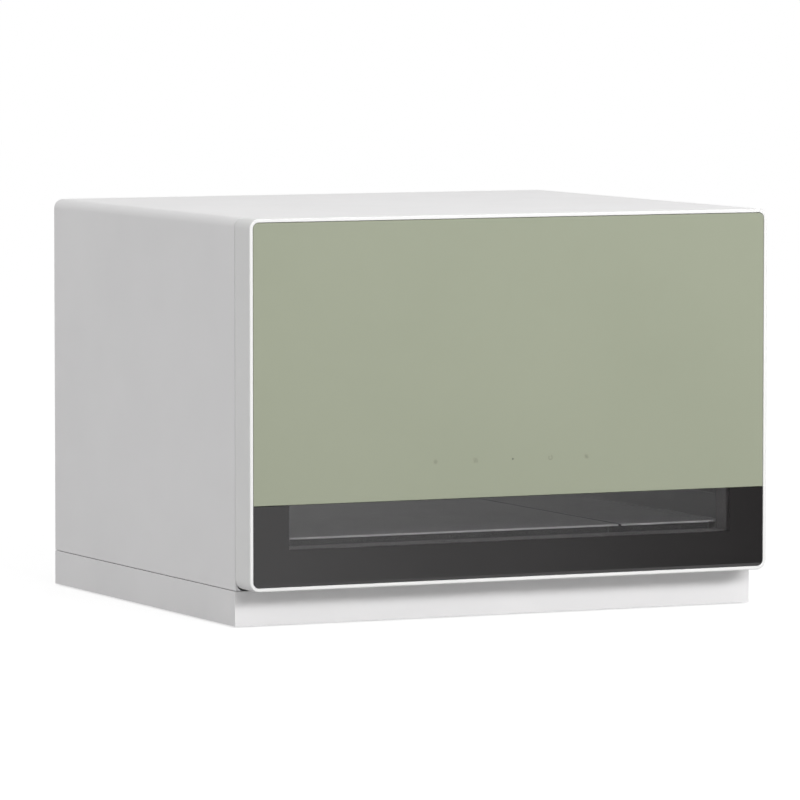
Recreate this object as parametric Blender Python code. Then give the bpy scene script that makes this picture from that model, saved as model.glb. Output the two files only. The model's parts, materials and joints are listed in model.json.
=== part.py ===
"""A countertop sterilizing dryer with one full-width drawer on telescopic slides.

Metres, +Z up. The front faces -Y and +X is to the right seen from the front.
The origin is on the surface that the feet stand on, under the middle of the object.
"""

import math

import bmesh
import bpy
from mathutils import Vector

for old in list(bpy.data.objects):
    bpy.data.objects.remove(old)

# Overall sizes
overall_width = 0.400
cabinet_depth = 0.3324
front_depth = 0.026
body_height = 0.2825
plinth_height = 0.0244
foot_proud = 0.001
corner_radius = 0.007

# Clearances: between pieces that touch, and how far a cutter runs past a face
fit_gap = 0.0003
seam_gap = 0.0004
running_gap = 0.0005
bearing_gap = 0.0001
overrun = 0.002

# Sides on round shapes and steps in a rounded corner
round_sides = 20
fine_sides = 32
can_sides = 16
post_sides = 12
corner_steps = 5

# Plinth and feet
pan_wall = 0.0025
pan_floor = 0.003
foot_radius = 0.009
foot_seat = 0.0015
foot_chamfer = 0.0005
foot_inset = 0.024
post_radius = 0.004
liner_post_inset = 0.020

# Cabinet shell and rear panel
shell_wall = 0.0024
shell_return = 0.011
shell_return_wall = 0.0016
rear_recess = 0.003
rear_panel_wall = 0.002
vent_slot = 0.0028
vent_pitch = 0.0062
vent_length = 0.034
vent_count = 16
vent_drop = 0.034

# Drawer front
front_lift = 0.0015
front_seam = 0.0008
rim_width = 0.0026
rim_chamfer = 0.0007
glass_wall = 0.004
glass_recess = 0.0002
dark_band_height = 0.0592
window_margin = 0.0295
sill_lift = 0.0276
window_hidden = 0.0139
window_depth = 0.020
core_wall = 0.002
core_rib = 0.002
inner_panel_wall = 0.002
touch_lift = 0.0262
touch_lap = 0.010
touch_height = 0.018
board_wall = 0.0016
gasket_width = 0.005
gasket_side_inset = 0.0103
gasket_low_inset = 0.0046
gasket_top_inset = 0.0045
gasket_nose = 0.0012

# Chamber
chamber_floor_lift = 0.0116
ceiling_drop = 0.0211
rear_room = 0.0574
liner_wall = 0.0012
flange_wall = 0.0015
flange_recess = 0.002
air_slot_height = 0.0035
air_slot_pitch = 0.009
air_slot_width = 0.080
return_slot_width = 0.0035
return_slot_height = 0.016
return_slot_pitch = 0.009
return_slot_count = 16
return_slot_drop = 0.008

# Drawer tub, drip tray and trays
tub_margin = 0.002
tub_wall = 0.0012
tub_lift = 0.0015
tub_back_gap = 0.008
tub_rim_margin = 0.0045
tub_sill_gap = 0.0016
drip_height = 0.0199
drip_wall = 0.0016
drip_front_gap = 0.012
tray_wall = 0.0013
tray_overlap = 0.0015
tray_rib_depth = 0.006
tray_rib_wall = 0.0012
tray_border_width = 0.0045
tray_border_height = 0.0009
tray_split = 0.094
tray_seam = 0.0024
tray_slot_length = 0.032
tray_slot_width = 0.004
tray_slot_pitch_x = 0.042
tray_slot_pitch_y = 0.013
tray_slot_rows = 2
tray_slot_setback = 0.0092
tray_margin = 0.018

# Telescopic slides
rail_depth = 0.0127
rail_height = 0.035
rail_end_gap = 0.012
rail_wall = 0.0012
rail_setback = 0.008
rail_lift = 0.002
rail_flange = 0.009
rail_web_gap = 0.002
rail_nest = 0.0004
rail_screw_inset = 0.040

# Screws
screw_radius = 0.0015
screw_head_radius = 0.0034
screw_head_height = 0.0012
screw_length = 0.007
screw_round = 0.0004
screw_cross = 0.0008
screw_cross_length = 0.0040
screw_cross_depth = 0.0006
rear_screw_inset = 0.0082
rear_screw_low = 0.030

# Fan, heater and filter
fan_size = 0.092
fan_depth = 0.025
fan_bore = 0.0445
fan_tip_gap = 0.0012
fan_hub_radius = 0.019
fan_hub_wall = 0.0015
fan_hub_depth = 0.0165
fan_base_radius = 0.019
fan_base_wall = 0.002
fan_strut = 0.004
fan_bearing_radius = 0.004
fan_shaft_radius = 0.0016
fan_blades = 7
fan_blade_wall = 0.0014
fan_blade_chord = 0.019
fan_root_pitch = math.radians(52)
fan_tip_pitch = math.radians(28)
fan_edge_gap = 0.0018
stator_radius = 0.0155
stator_tooth = 0.007
stator_core = 0.0075
heater_depth = 0.012
heater_rim = 0.005
heater_slot = 0.0032
heater_pitch = 0.0058
duct_wall = 0.002
duct_length = 0.024
duct_lip = 0.007
sleeve_wall = 0.0015
sleeve_side = 0.0994
cover_side = 0.114
cover_wall = 0.002
cover_slot = 0.003
cover_slot_pitch = 0.008
finger_slot_width = 0.032
finger_slot_height = 0.012
filter_depth = 0.0135
filter_back_gap = 0.0048
filter_pleats = 14
filter_sheet = 0.0016

# Boards, inlet and leads
board_post = 0.005
control_width = 0.090
control_height = 0.110
control_part_height = 0.016
power_width = 0.150
power_depth = 0.080
power_side_gap = 0.0475
power_back_gap = 0.062
power_part_height = 0.016
can_radius = 0.005
can_height = 0.015
inlet_width = 0.0275
inlet_height = 0.0200
inlet_flange = 0.003
inlet_flange_wall = 0.0018
inlet_depth = 0.022
inlet_wall = 0.0018
inlet_recess = 0.016
inlet_pin_width = 0.002
inlet_pin_height = 0.004
inlet_pin_length = 0.0105
inlet_pin_spread = 0.007
inlet_pin_rise = 0.002
inlet_side_gap = 0.0676
inlet_lift = 0.034
mains_lead_radius = 0.0025
thin_lead_radius = 0.0015
fan_lead_inset = 0.0055
fan_lead_rise = 0.0115

# Parts on the two boards, as shares of the board's half sizes and of its tallest part:
# centre across, centre along, width, length, height. Then the upright cans, centre across and along.
control_part_shares = ((-0.45, 0.45, 0.50, 0.36, 1.0), (0.40, 0.50, 0.40, 0.50, 0.7),
                       (0.05, -0.10, 0.62, 0.40, 0.22), (-0.30, -0.72, 0.80, 0.20, 0.62))
control_can_shares = ((0.72, -0.45), (0.72, -0.15))
power_part_shares = ((-0.55, 0.30, 0.36, 0.80, 0.94), (0.00, -0.25, 0.36, 0.90, 1.0),
                     (0.45, 0.45, 0.26, 0.50, 0.81), (0.80, -0.10, 0.16, 1.20, 0.62))
power_can_shares = ((0.34, -0.45), (0.54, -0.45))

# Ultraviolet lamp modules
lamp_opening_width = 0.110
lamp_opening_depth = 0.020
lamp_cover_lap = 0.003
lamp_cover_wall = 0.002
lamp_housing_wall = 0.002
lamp_housing_lap = 0.004
lamp_housing_height = 0.016
lamp_count = 5
lamp_chip = 0.004
lamp_chip_height = 0.0014
lamp_place_shares = (0.28, 0.72)

# Latch magnets, sensor and contact
magnet_radius = 0.005
magnet_depth = 0.0047
magnet_offset = 0.120
magnet_drop = 0.016
striker_depth = 0.0024
sensor_inset = 0.027
sensor_width = 0.020
sensor_height = 0.008
sensor_depth = 0.006
contact_width = 0.030
contact_height = 0.009
contact_plate_depth = 0.0022
contact_block_depth = 0.012

# Places worked out from the sizes
half_width = overall_width / 2
face_y = -(front_depth + cabinet_depth) / 2
cabinet_y = face_y + front_depth
back_y = cabinet_y + cabinet_depth
plinth_top = foot_proud + plinth_height
top_z = foot_proud + body_height
shell_z = plinth_top + seam_gap
shell_inside = half_width - shell_wall
shell_ceiling = top_z - shell_wall
inside_radius = corner_radius - shell_wall
rear_outer_y = back_y - rear_recess
rear_inner_y = rear_outer_y - rear_panel_wall

front_z = plinth_top + front_lift
split_z = front_z + dark_band_height
sill_z = front_z + sill_lift
window_half = half_width - window_margin
window_top = split_z + window_hidden
glass_y = face_y + glass_recess
core_y = glass_y + glass_wall + fit_gap
front_back_y = face_y + window_depth
inner_panel_y = front_back_y - inner_panel_wall
front_inside = half_width - rim_width
front_low = front_z + rim_width
front_high = top_z - rim_width
glass_radius = corner_radius - rim_width
touch_z = split_z + touch_lift

flange_y = cabinet_y + flange_recess
flange_back_y = flange_y + flange_wall
chamber_floor = plinth_top + chamber_floor_lift
chamber_ceiling = shell_ceiling - ceiling_drop
chamber_back_y = rear_inner_y - rear_room
chamber_depth = chamber_back_y - flange_y
liner_back_y = chamber_back_y + liner_wall
tub_inside = window_half + tub_margin
tub_outside = tub_inside + tub_wall
rail_tub_x = tub_outside + fit_gap
rail_wall_x = rail_tub_x + rail_depth
chamber_half = rail_wall_x + fit_gap
air_z = (chamber_floor + chamber_ceiling) / 2
latch_z = chamber_ceiling + magnet_drop / 2

tub_z = chamber_floor + tub_lift
tub_floor = tub_z + tub_wall
tub_y = front_back_y + fit_gap
tub_back_y = chamber_back_y - tub_back_gap
rail_low = tub_z + rail_lift
rail_z = rail_low + rail_height / 2
tub_rim = rail_low + rail_height + tub_rim_margin
drip_z = tub_floor + fit_gap
drip_rim = drip_z + drip_height
drip_y = tub_y + tub_wall + drip_front_gap
drip_back_y = tub_back_y - tub_wall - running_gap
drip_half = tub_inside - running_gap
tray_z = drip_rim + fit_gap
tray_top = tray_z + tray_wall
tray_y = tub_y + tray_overlap
rail_y = cabinet_y + rail_setback
rail_length = chamber_back_y - rail_end_gap - rail_y

heater_y = liner_back_y + fit_gap
fan_y = heater_y + heater_depth + fit_gap
fan_back_y = fan_y + fan_depth
duct_inside = fan_size / 2 + fit_gap
duct_outside = duct_inside + duct_wall
cover_y = rear_outer_y + fit_gap
sleeve_y = fan_back_y + running_gap
sleeve_half = sleeve_side / 2
port_half = sleeve_half + fit_gap
fan_axis = Vector((0, fan_y, air_z))

control_x = -(duct_outside + duct_lip + shell_inside) / 2
control_y = liner_back_y + fit_gap + board_post
power_x = half_width - pan_wall - power_side_gap - power_width / 2
power_y = back_y - power_back_gap - power_depth / 2
power_z = foot_proud + pan_floor + board_post + fit_gap
inlet_x = shell_inside - inlet_side_gap
inlet_z = plinth_top + inlet_lift
inlet_back_y = rear_outer_y + fit_gap - inlet_depth


def linear(byte):
    """One channel of a colour read from the photograph, 0 to 255, as a linear value."""
    share = byte / 255
    return share / 12.92 if share <= 0.04045 else ((share + 0.055) / 1.055) ** 2.4


def make_material(name, rgb, roughness, metallic=0.0, transmission=0.0):
    material = bpy.data.materials.new(name)
    material.use_nodes = True
    shader = material.node_tree.nodes["Principled BSDF"]
    colour = [linear(byte) for byte in rgb] + [1]
    shader.inputs["Base Color"].default_value = colour
    shader.inputs["Roughness"].default_value = roughness
    shader.inputs["Metallic"].default_value = metallic
    shader.inputs["Transmission Weight"].default_value = transmission
    material.diffuse_color = colour
    return material


white = make_material("white_casing", (238, 238, 237), 0.45)
white_rim = make_material("white_rim", (244, 244, 242), 0.35)
green = make_material("green_panel", (162, 168, 147), 0.40)
smoked = make_material("smoked_glass", (58, 56, 57), 0.05, transmission=0.5)
dark_moulding = make_material("dark_moulding", (62, 60, 61), 0.50)
black_plastic = make_material("black_plastic", (34, 34, 36), 0.50)
bright_steel = make_material("polished_steel", (200, 201, 203), 0.18, metallic=1.0)
rail_steel = make_material("zinc_steel", (176, 178, 180), 0.35, metallic=1.0)
tray_plastic = make_material("tray_plastic", (206, 207, 208), 0.40)
drip_plastic = make_material("drip_plastic", (120, 121, 123), 0.45)
grey_silicone = make_material("grey_silicone", (150, 151, 152), 0.75)
foot_rubber = make_material("foot_rubber", (92, 92, 94), 0.85)
heater_alloy = make_material("heater_alloy", (188, 190, 192), 0.40, metallic=1.0)
fan_black = make_material("fan_plastic", (40, 40, 42), 0.45)
copper = make_material("copper_winding", (178, 110, 62), 0.35, metallic=1.0)
filter_paper = make_material("filter_paper", (232, 231, 226), 0.95)
board_green = make_material("circuit_board", (38, 84, 58), 0.55)
clear_quartz = make_material("clear_quartz", (236, 238, 240), 0.03, transmission=1.0)
magnet_nickel = make_material("nickel_magnet", (170, 171, 173), 0.25, metallic=1.0)
gold_contact = make_material("gold_contact", (212, 178, 96), 0.25, metallic=1.0)
lead_grey = make_material("lead_sheath", (70, 71, 74), 0.60)
lead_white = make_material("lead_white", (214, 214, 212), 0.60)


class Shape:
    """A closed shape, or several, in world coordinates."""

    def __init__(self):
        self.mesh = bmesh.new()

    def box(self, low, high):
        (x0, y0, z0), (x1, y1, z1) = low, high
        return self.prism([(x0, y0), (x1, y0), (x1, y1), (x0, y1)], 2, z0, z1)

    def prism(self, outline, axis, start, end):
        """An outline in the two other axes, in X, Y, Z order, drawn along one axis."""
        return self.loft([[lift(pair, axis, along) for pair in outline] for along in (start, end)])

    def rod(self, centre, axis, start, end, radius, sides=round_sides):
        return self.prism(circle(centre, radius, sides), axis, start, end)

    def turned(self, centre, axis, profile, sides=round_sides):
        """Rings of (place along the axis, radius), closed at both ends."""
        return self.loft([[lift(pair, axis, along) for pair in circle(centre, radius, sides)]
                          for along, radius in profile])

    def loft(self, loops):
        """Loops with as many points each, joined in turn, with a face over each end."""
        rows = [[self.mesh.verts.new(point) for point in loop] for loop in loops]
        count = len(rows[0])
        self.mesh.faces.new(rows[0])
        self.mesh.faces.new(rows[-1])
        for near, far in zip(rows, rows[1:]):
            for i in range(count):
                j = (i + 1) % count
                self.mesh.faces.new((near[i], near[j], far[j], far[i]))
        return self


def lift(pair, axis, along):
    point = list(pair)
    point.insert(axis, along)
    return point


def circle(centre, radius, sides=round_sides):
    turns = [2 * math.pi * (i + 0.5) / sides for i in range(sides)]
    return [(centre[0] + radius * math.cos(a), centre[1] + radius * math.sin(a)) for a in turns]


def rounded(x0, x1, z0, z1, low_radius, high_radius):
    """A rectangle with one radius for its two low corners and one for its two high ones."""
    points = []
    corners = ((x0, z0, low_radius, 2), (x1, z0, low_radius, 3),
               (x1, z1, high_radius, 0), (x0, z1, high_radius, 1))
    for x, z, radius, quarter in corners:
        if not radius:
            points.append((x, z))
            continue
        centre_x = x + radius if x == x0 else x - radius
        centre_z = z + radius if z == z0 else z - radius
        for step in range(corner_steps + 1):
            angle = (quarter + step / corner_steps) * math.pi / 2
            points.append((centre_x + radius * math.cos(angle), centre_z + radius * math.sin(angle)))
    return points


bodies = {}


def make_body(name, anchor=(0, 0, 0), parent=None):
    """An empty on the body's joint axis, which carries the body's pieces."""
    empty = bpy.data.objects.new(name, None)
    bpy.context.scene.collection.objects.link(empty)
    carrier = bodies.get(parent)
    empty.parent = carrier
    empty.location = Vector(anchor) - (Vector(carrier["anchor"]) if carrier else Vector())
    empty["anchor"] = list(anchor)
    bodies[name] = empty


def place(name, shape, body):
    anchor = Vector(bodies[body]["anchor"])
    bmesh.ops.recalc_face_normals(shape.mesh, faces=shape.mesh.faces)
    bmesh.ops.translate(shape.mesh, vec=-anchor, verts=shape.mesh.verts)
    mesh = bpy.data.meshes.new(name)
    shape.mesh.to_mesh(mesh)
    shape.mesh.free()
    item = bpy.data.objects.new(name, mesh)
    bpy.context.scene.collection.objects.link(item)
    item.parent = bodies[body]
    return item


def piece(name, shape, material, body="cabinet", smooth=False):
    item = place(name, shape, body)
    item.data.materials.append(material)
    if smooth:
        item.data.shade_smooth()
        item.data.set_sharp_from_angle(angle=math.radians(32))
    return item


def combine(item, shape, operation, word):
    tool = place(f"{item.name}_{word}_{len(item.modifiers)}", shape, item.parent.name)
    tool.hide_render = True
    tool.display_type = "WIRE"
    modifier = item.modifiers.new(word, "BOOLEAN")
    modifier.operation = operation
    modifier.object = tool


def cut(item, shape):
    combine(item, shape, "DIFFERENCE", "cut")


def join(item, shape):
    combine(item, shape, "UNION", "join")


def spread(count, pitch):
    """Places of a row of like things about its middle."""
    return [(i - (count - 1) / 2) * pitch for i in range(count)]


def count_in(length, pitch):
    return max(1, int(length / pitch) + 1)


def make_bodies():
    make_body("cabinet")
    make_body("drawer", (0, cabinet_y, rail_z))
    make_body("left_rail", (-(rail_tub_x + rail_wall_x) / 2, rail_y, rail_z))
    make_body("right_rail", ((rail_tub_x + rail_wall_x) / 2, rail_y, rail_z))
    for word, x in (("left", 0), ("right", tray_split)):
        make_body(f"{word}_drip", (x, tub_back_y, drip_z), "drawer")
        make_body(f"{word}_lift", (x, tub_back_y, tray_z), f"{word}_drip")
    make_body("fan", fan_axis)
    make_body("filter", (0, cover_y, air_z))


def foot_places():
    for word_y, y in (("front", cabinet_y + foot_inset), ("rear", back_y - foot_inset)):
        for word_x, side in (("left", -1), ("right", 1)):
            yield f"foot_{word_y}_{word_x}", side * (half_width - foot_inset), y


def power_posts():
    for x in spread(2, power_width - 4 * post_radius):
        for y in spread(2, power_depth - 4 * post_radius):
            yield power_x + x, power_y + y


def make_plinth():
    """An open pan whose walls carry the shell, with posts for the power board and the liner."""
    base = piece("plinth_base", Shape().box((-half_width, cabinet_y, foot_proud),
                                            (half_width, back_y, plinth_top)), white)
    floor = foot_proud + pan_floor
    cut(base, Shape().box((pan_wall - half_width, cabinet_y + pan_wall, floor),
                          (half_width - pan_wall, back_y - pan_wall, plinth_top + overrun)))
    posts = Shape()
    for x, y in power_posts():
        posts.rod((x, y), 2, floor - pan_floor / 2, floor + board_post, post_radius)
    liner_low = chamber_floor - liner_wall
    for side in (-1, 1):
        x = side * (chamber_half - liner_post_inset)
        posts.rod((x, chamber_back_y - liner_post_inset), 2, floor - pan_floor / 2, liner_low - fit_gap,
                  post_radius)
    join(base, posts)
    seats = Shape()
    for _, x, y in foot_places():
        seats.rod((x, y), 2, -overrun, foot_proud + foot_seat, foot_radius + fit_gap)
    cut(base, seats)


def make_feet():
    high = foot_proud + foot_seat - fit_gap
    profile = ((0, foot_radius - foot_chamfer), (foot_chamfer, foot_radius), (high, foot_radius))
    for name, x, y in foot_places():
        piece(name, Shape().turned((x, y), 2, profile), foot_rubber, smooth=True)


def rear_screw_places():
    for word_z, z in (("low", plinth_top + rear_screw_low), ("high", shell_ceiling - rear_screw_low)):
        for word_x, side in (("left", -1), ("right", 1)):
            yield f"rear_screw_{word_z}_{word_x}", side * (shell_inside - rear_screw_inset), z


def make_shell():
    """Top and sides in one wrap, with a flange inside its rear edge for the rear panel."""
    outer = rounded(-half_width, half_width, shell_z, top_z, 0, corner_radius)
    inner = rounded(-shell_inside, shell_inside, shell_z - overrun, shell_ceiling, 0, inside_radius)
    shell = piece("cabinet_shell", Shape().prism(outer, 1, cabinet_y, back_y), white, smooth=True)
    cut(shell, Shape().prism(inner, 1, cabinet_y - overrun, back_y + overrun))
    lap = shell_wall / 2
    flange_end = rear_inner_y - fit_gap
    flange = rounded(-shell_inside - lap, shell_inside + lap, shell_z, shell_ceiling + lap, 0, inside_radius)
    join(shell, Shape().prism(flange, 1, flange_end - shell_return_wall, flange_end))
    start, end = flange_end - shell_return_wall - overrun, flange_end + overrun
    half = shell_inside - shell_return
    room = Shape().box((-half, start, shell_z - overrun), (half, end, shell_ceiling - shell_return))
    for _, x, z in rear_screw_places():
        room.rod((x, z), 1, start, end, screw_radius + fit_gap)
    cut(shell, room)


def make_rear_panel():
    half = shell_inside - fit_gap
    outline = rounded(-half, half, plinth_top + fit_gap, shell_ceiling - fit_gap, 0, inside_radius)
    panel = piece("rear_panel", Shape().prism(outline, 1, rear_inner_y, rear_outer_y), white)
    start, end = rear_inner_y - overrun, rear_outer_y + overrun
    holes = Shape().box((-port_half, start, air_z - port_half), (port_half, end, air_z + port_half))
    for _, x, z in rear_screw_places():
        holes.rod((x, z), 1, start, end, screw_radius + fit_gap)
    vent_z = shell_ceiling - vent_drop
    for x in spread(vent_count, vent_pitch):
        holes.box((x - vent_slot / 2, start, vent_z - vent_length / 2),
                  (x + vent_slot / 2, end, vent_z + vent_length / 2))
    wide, tall = inlet_width / 2 + fit_gap, inlet_height / 2 + fit_gap
    holes.box((inlet_x - wide, start, inlet_z - tall), (inlet_x + wide, end, inlet_z + tall))
    cut(panel, holes)


def screw(name, centre, axis, seat, way, body="cabinet"):
    """A pan-head screw. seat is where the underside of its head lies, and way is where the head points."""
    tip = seat - way * screw_length
    neck = seat + way * fit_gap
    crown = neck + way * screw_head_height
    profile = ((tip, screw_radius), (neck, screw_radius), (neck, screw_head_radius),
               (crown - way * screw_round, screw_head_radius), (crown, screw_head_radius - screw_round))
    item = piece(name, Shape().turned(centre, axis, profile, fine_sides // 2), rail_steel, body, smooth=True)
    slots = Shape()
    deep, out = crown - way * screw_cross_depth, crown + way * overrun
    start, end = min(deep, out), max(deep, out)
    long, wide = screw_cross_length / 2, screw_cross / 2
    cross = ((wide, wide), (wide, long), (-wide, long), (-wide, wide), (-long, wide), (-long, -wide),
             (-wide, -wide), (-wide, -long), (wide, -long), (wide, -wide), (long, -wide), (long, wide))
    slots.prism([(centre[0] + a, centre[1] + b) for a, b in cross], axis, start, end)
    cut(item, slots)


def make_rear_screws():
    for name, x, z in rear_screw_places():
        screw(name, (x, z), 1, rear_outer_y, 1)


def rail_screw_places():
    for word, y in (("front", rail_y + rail_screw_inset), ("rear", rail_y + rail_length - rail_screw_inset)):
        yield word, y


def make_liner():
    """The steel chamber: a box open at the front, with a flange that reaches the shell."""
    low = chamber_floor - liner_wall
    high = chamber_ceiling + liner_wall
    side = chamber_half + liner_wall
    liner = piece("chamber_liner", Shape().box((-side, flange_y + flange_wall / 2, low),
                                               (side, liner_back_y, high)), bright_steel)
    half = shell_inside - fit_gap
    flange = rounded(-half, half, plinth_top + fit_gap, shell_ceiling - fit_gap, 0, inside_radius)
    join(liner, Shape().prism(flange, 1, flange_y, flange_back_y))
    cut(liner, Shape().box((-chamber_half, flange_y - overrun, chamber_floor),
                           (chamber_half, chamber_back_y, chamber_ceiling)))
    start, end = chamber_back_y - overrun, liner_back_y + overrun
    holes = Shape()
    for z in spread(count_in(air_slot_width, air_slot_pitch), air_slot_pitch):
        holes.box((-air_slot_width / 2, start, air_z + z - air_slot_height / 2),
                  (air_slot_width / 2, end, air_z + z + air_slot_height / 2))
    return_z = chamber_ceiling - return_slot_drop - return_slot_height / 2
    for x in spread(return_slot_count, return_slot_pitch):
        holes.box((x - return_slot_width / 2, start, return_z - return_slot_height / 2),
                  (x + return_slot_width / 2, end, return_z + return_slot_height / 2))
    for y in lamp_places():
        holes.box((-lamp_opening_width / 2, y - lamp_opening_depth / 2, chamber_ceiling - overrun),
                  (lamp_opening_width / 2, y + lamp_opening_depth / 2, high + overrun))
    for _, y in rail_screw_places():
        for way in (-1, 1):
            ends = sorted((way * (chamber_half - overrun), way * (side + overrun)))
            holes.rod((y, rail_z), 0, *ends, screw_radius + fit_gap)
    wide, tall = contact_width / 2 + fit_gap, contact_height / 2 + fit_gap
    holes.box((-wide, flange_y - overrun, latch_z - tall), (wide, flange_back_y + overrun, latch_z + tall))
    cut(liner, holes)


def rail_channel(wall_from, web_from, tip_to, height, side, start, end):
    """A C-shaped member. Places across the slide count from the chamber wall towards the tub."""
    def x_at(place):
        return side * (rail_wall_x - place)
    outer, inner = height / 2, height / 2 - rail_wall
    edge, back = wall_from, tip_to
    web_to = web_from + rail_wall
    if web_from == wall_from:
        outline = [(edge, -outer), (back, -outer), (back, -inner), (web_to, -inner), (web_to, inner),
                   (back, inner), (back, outer), (edge, outer)]
    else:
        outline = [(back, -outer), (edge, -outer), (edge, -inner), (web_from, -inner), (web_from, inner),
                   (edge, inner), (edge, outer), (back, outer)]
    return Shape().prism([(x_at(place), rail_z + z) for place, z in outline], 1, start, end)


def make_slides():
    """Outer members on the chamber walls, middle members between, inner members on the tub."""
    end = rail_y + rail_length
    step = 2 * (rail_wall + rail_nest)
    middle_from = rail_wall + rail_web_gap
    middle_to = rail_depth - rail_wall - running_gap
    inner_from = middle_from + rail_wall + running_gap
    for word, side in (("left", -1), ("right", 1)):
        outer = piece(f"{word}_rail_outer", rail_channel(0, 0, rail_flange, rail_height, side, rail_y, end),
                      rail_steel)
        holes = Shape()
        for _, y in rail_screw_places():
            ends = sorted((side * (rail_wall_x + overrun), side * (rail_wall_x - rail_wall - overrun)))
            holes.rod((y, rail_z), 0, *ends, screw_radius + fit_gap)
        cut(outer, holes)
        piece(f"{word}_rail_middle", rail_channel(middle_from, middle_from, middle_to, rail_height - step,
                                                  side, rail_y, end), rail_steel, f"{word}_rail")
        piece(f"{word}_rail_inner", rail_channel(inner_from, rail_depth - rail_wall, rail_depth,
                                                 rail_height - 2 * step, side, rail_y, end),
              rail_steel, "drawer")
        for place, y in rail_screw_places():
            screw(f"rail_screw_{word}_{place}", (y, rail_z), 0, side * (rail_wall_x - rail_wall), -side)


def lamp_places():
    return [flange_y + share * chamber_depth for share in lamp_place_shares]


def make_lamps():
    """Two ultraviolet lamp modules over openings in the chamber's ceiling."""
    low = chamber_ceiling + liner_wall + fit_gap
    roof = low + lamp_housing_height - lamp_housing_wall
    for word, y in zip(("front", "rear"), lamp_places()):
        half_x = lamp_opening_width / 2 + lamp_cover_lap
        half_y = lamp_opening_depth / 2 + lamp_cover_lap
        piece(f"lamp_window_{word}", Shape().box((-half_x, y - half_y, low),
                                                 (half_x, y + half_y, low + lamp_cover_wall)), clear_quartz)
        room_x, room_y = half_x + fit_gap, half_y + fit_gap
        wall_x, wall_y = room_x + lamp_housing_wall, room_y + lamp_housing_wall
        housing = piece(f"lamp_housing_{word}", Shape().box((-wall_x, y - wall_y, low),
                                                            (wall_x, y + wall_y, low + lamp_housing_height)),
                        black_plastic)
        cut(housing, Shape().box((-room_x, y - room_y, low - overrun), (room_x, y + room_y, roof)))
        board_z = roof - fit_gap - board_wall
        board_x, board_y = room_x - fit_gap, room_y - fit_gap
        board = piece(f"lamp_board_{word}", Shape().box((-board_x, y - board_y, board_z),
                                                        (board_x, y + board_y, board_z + board_wall)),
                      board_green)
        chips = Shape()
        for x in spread(lamp_count, lamp_opening_width / lamp_count):
            chips.box((x - lamp_chip / 2, y - lamp_chip / 2, board_z - lamp_chip_height),
                      (x + lamp_chip / 2, y + lamp_chip / 2, board_z + board_wall / 2))
        join(board, chips)


def square_ring(outside, inside, start, end, inner_start, inner_end):
    """Two blocks about the air path's axis: the ring's outside, and the room to cut from it."""
    body = Shape().box((-outside, start, air_z - outside), (outside, end, air_z + outside))
    room = Shape().box((-inside, inner_start, air_z - inside), (inside, inner_end, air_z + inside))
    return body, room


def make_duct():
    """A square sleeve on the liner's rear wall, which holds the heater and the fan."""
    start = liner_back_y + fit_gap
    end = start + duct_length
    body, room = square_ring(duct_outside, duct_inside, start, end, start - overrun, end + overrun)
    duct = piece("fan_duct", body, black_plastic)
    wide = duct_outside + duct_lip
    join(duct, Shape().box((-wide, start, air_z - wide), (wide, start + duct_wall, air_z + wide)))
    cut(duct, room)


def make_heater():
    half = fan_size / 2
    body, _ = square_ring(half, half, heater_y, heater_y + heater_depth, heater_y, heater_y)
    heater = piece("heater", body, heater_alloy)
    reach = half - heater_rim
    slots = Shape()
    for x in spread(count_in(2 * reach - heater_pitch, heater_pitch), heater_pitch):
        slots.box((x - heater_slot / 2, heater_y - overrun, air_z - reach),
                  (x + heater_slot / 2, heater_y + heater_depth + overrun, air_z + reach))
    cut(heater, slots)


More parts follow.
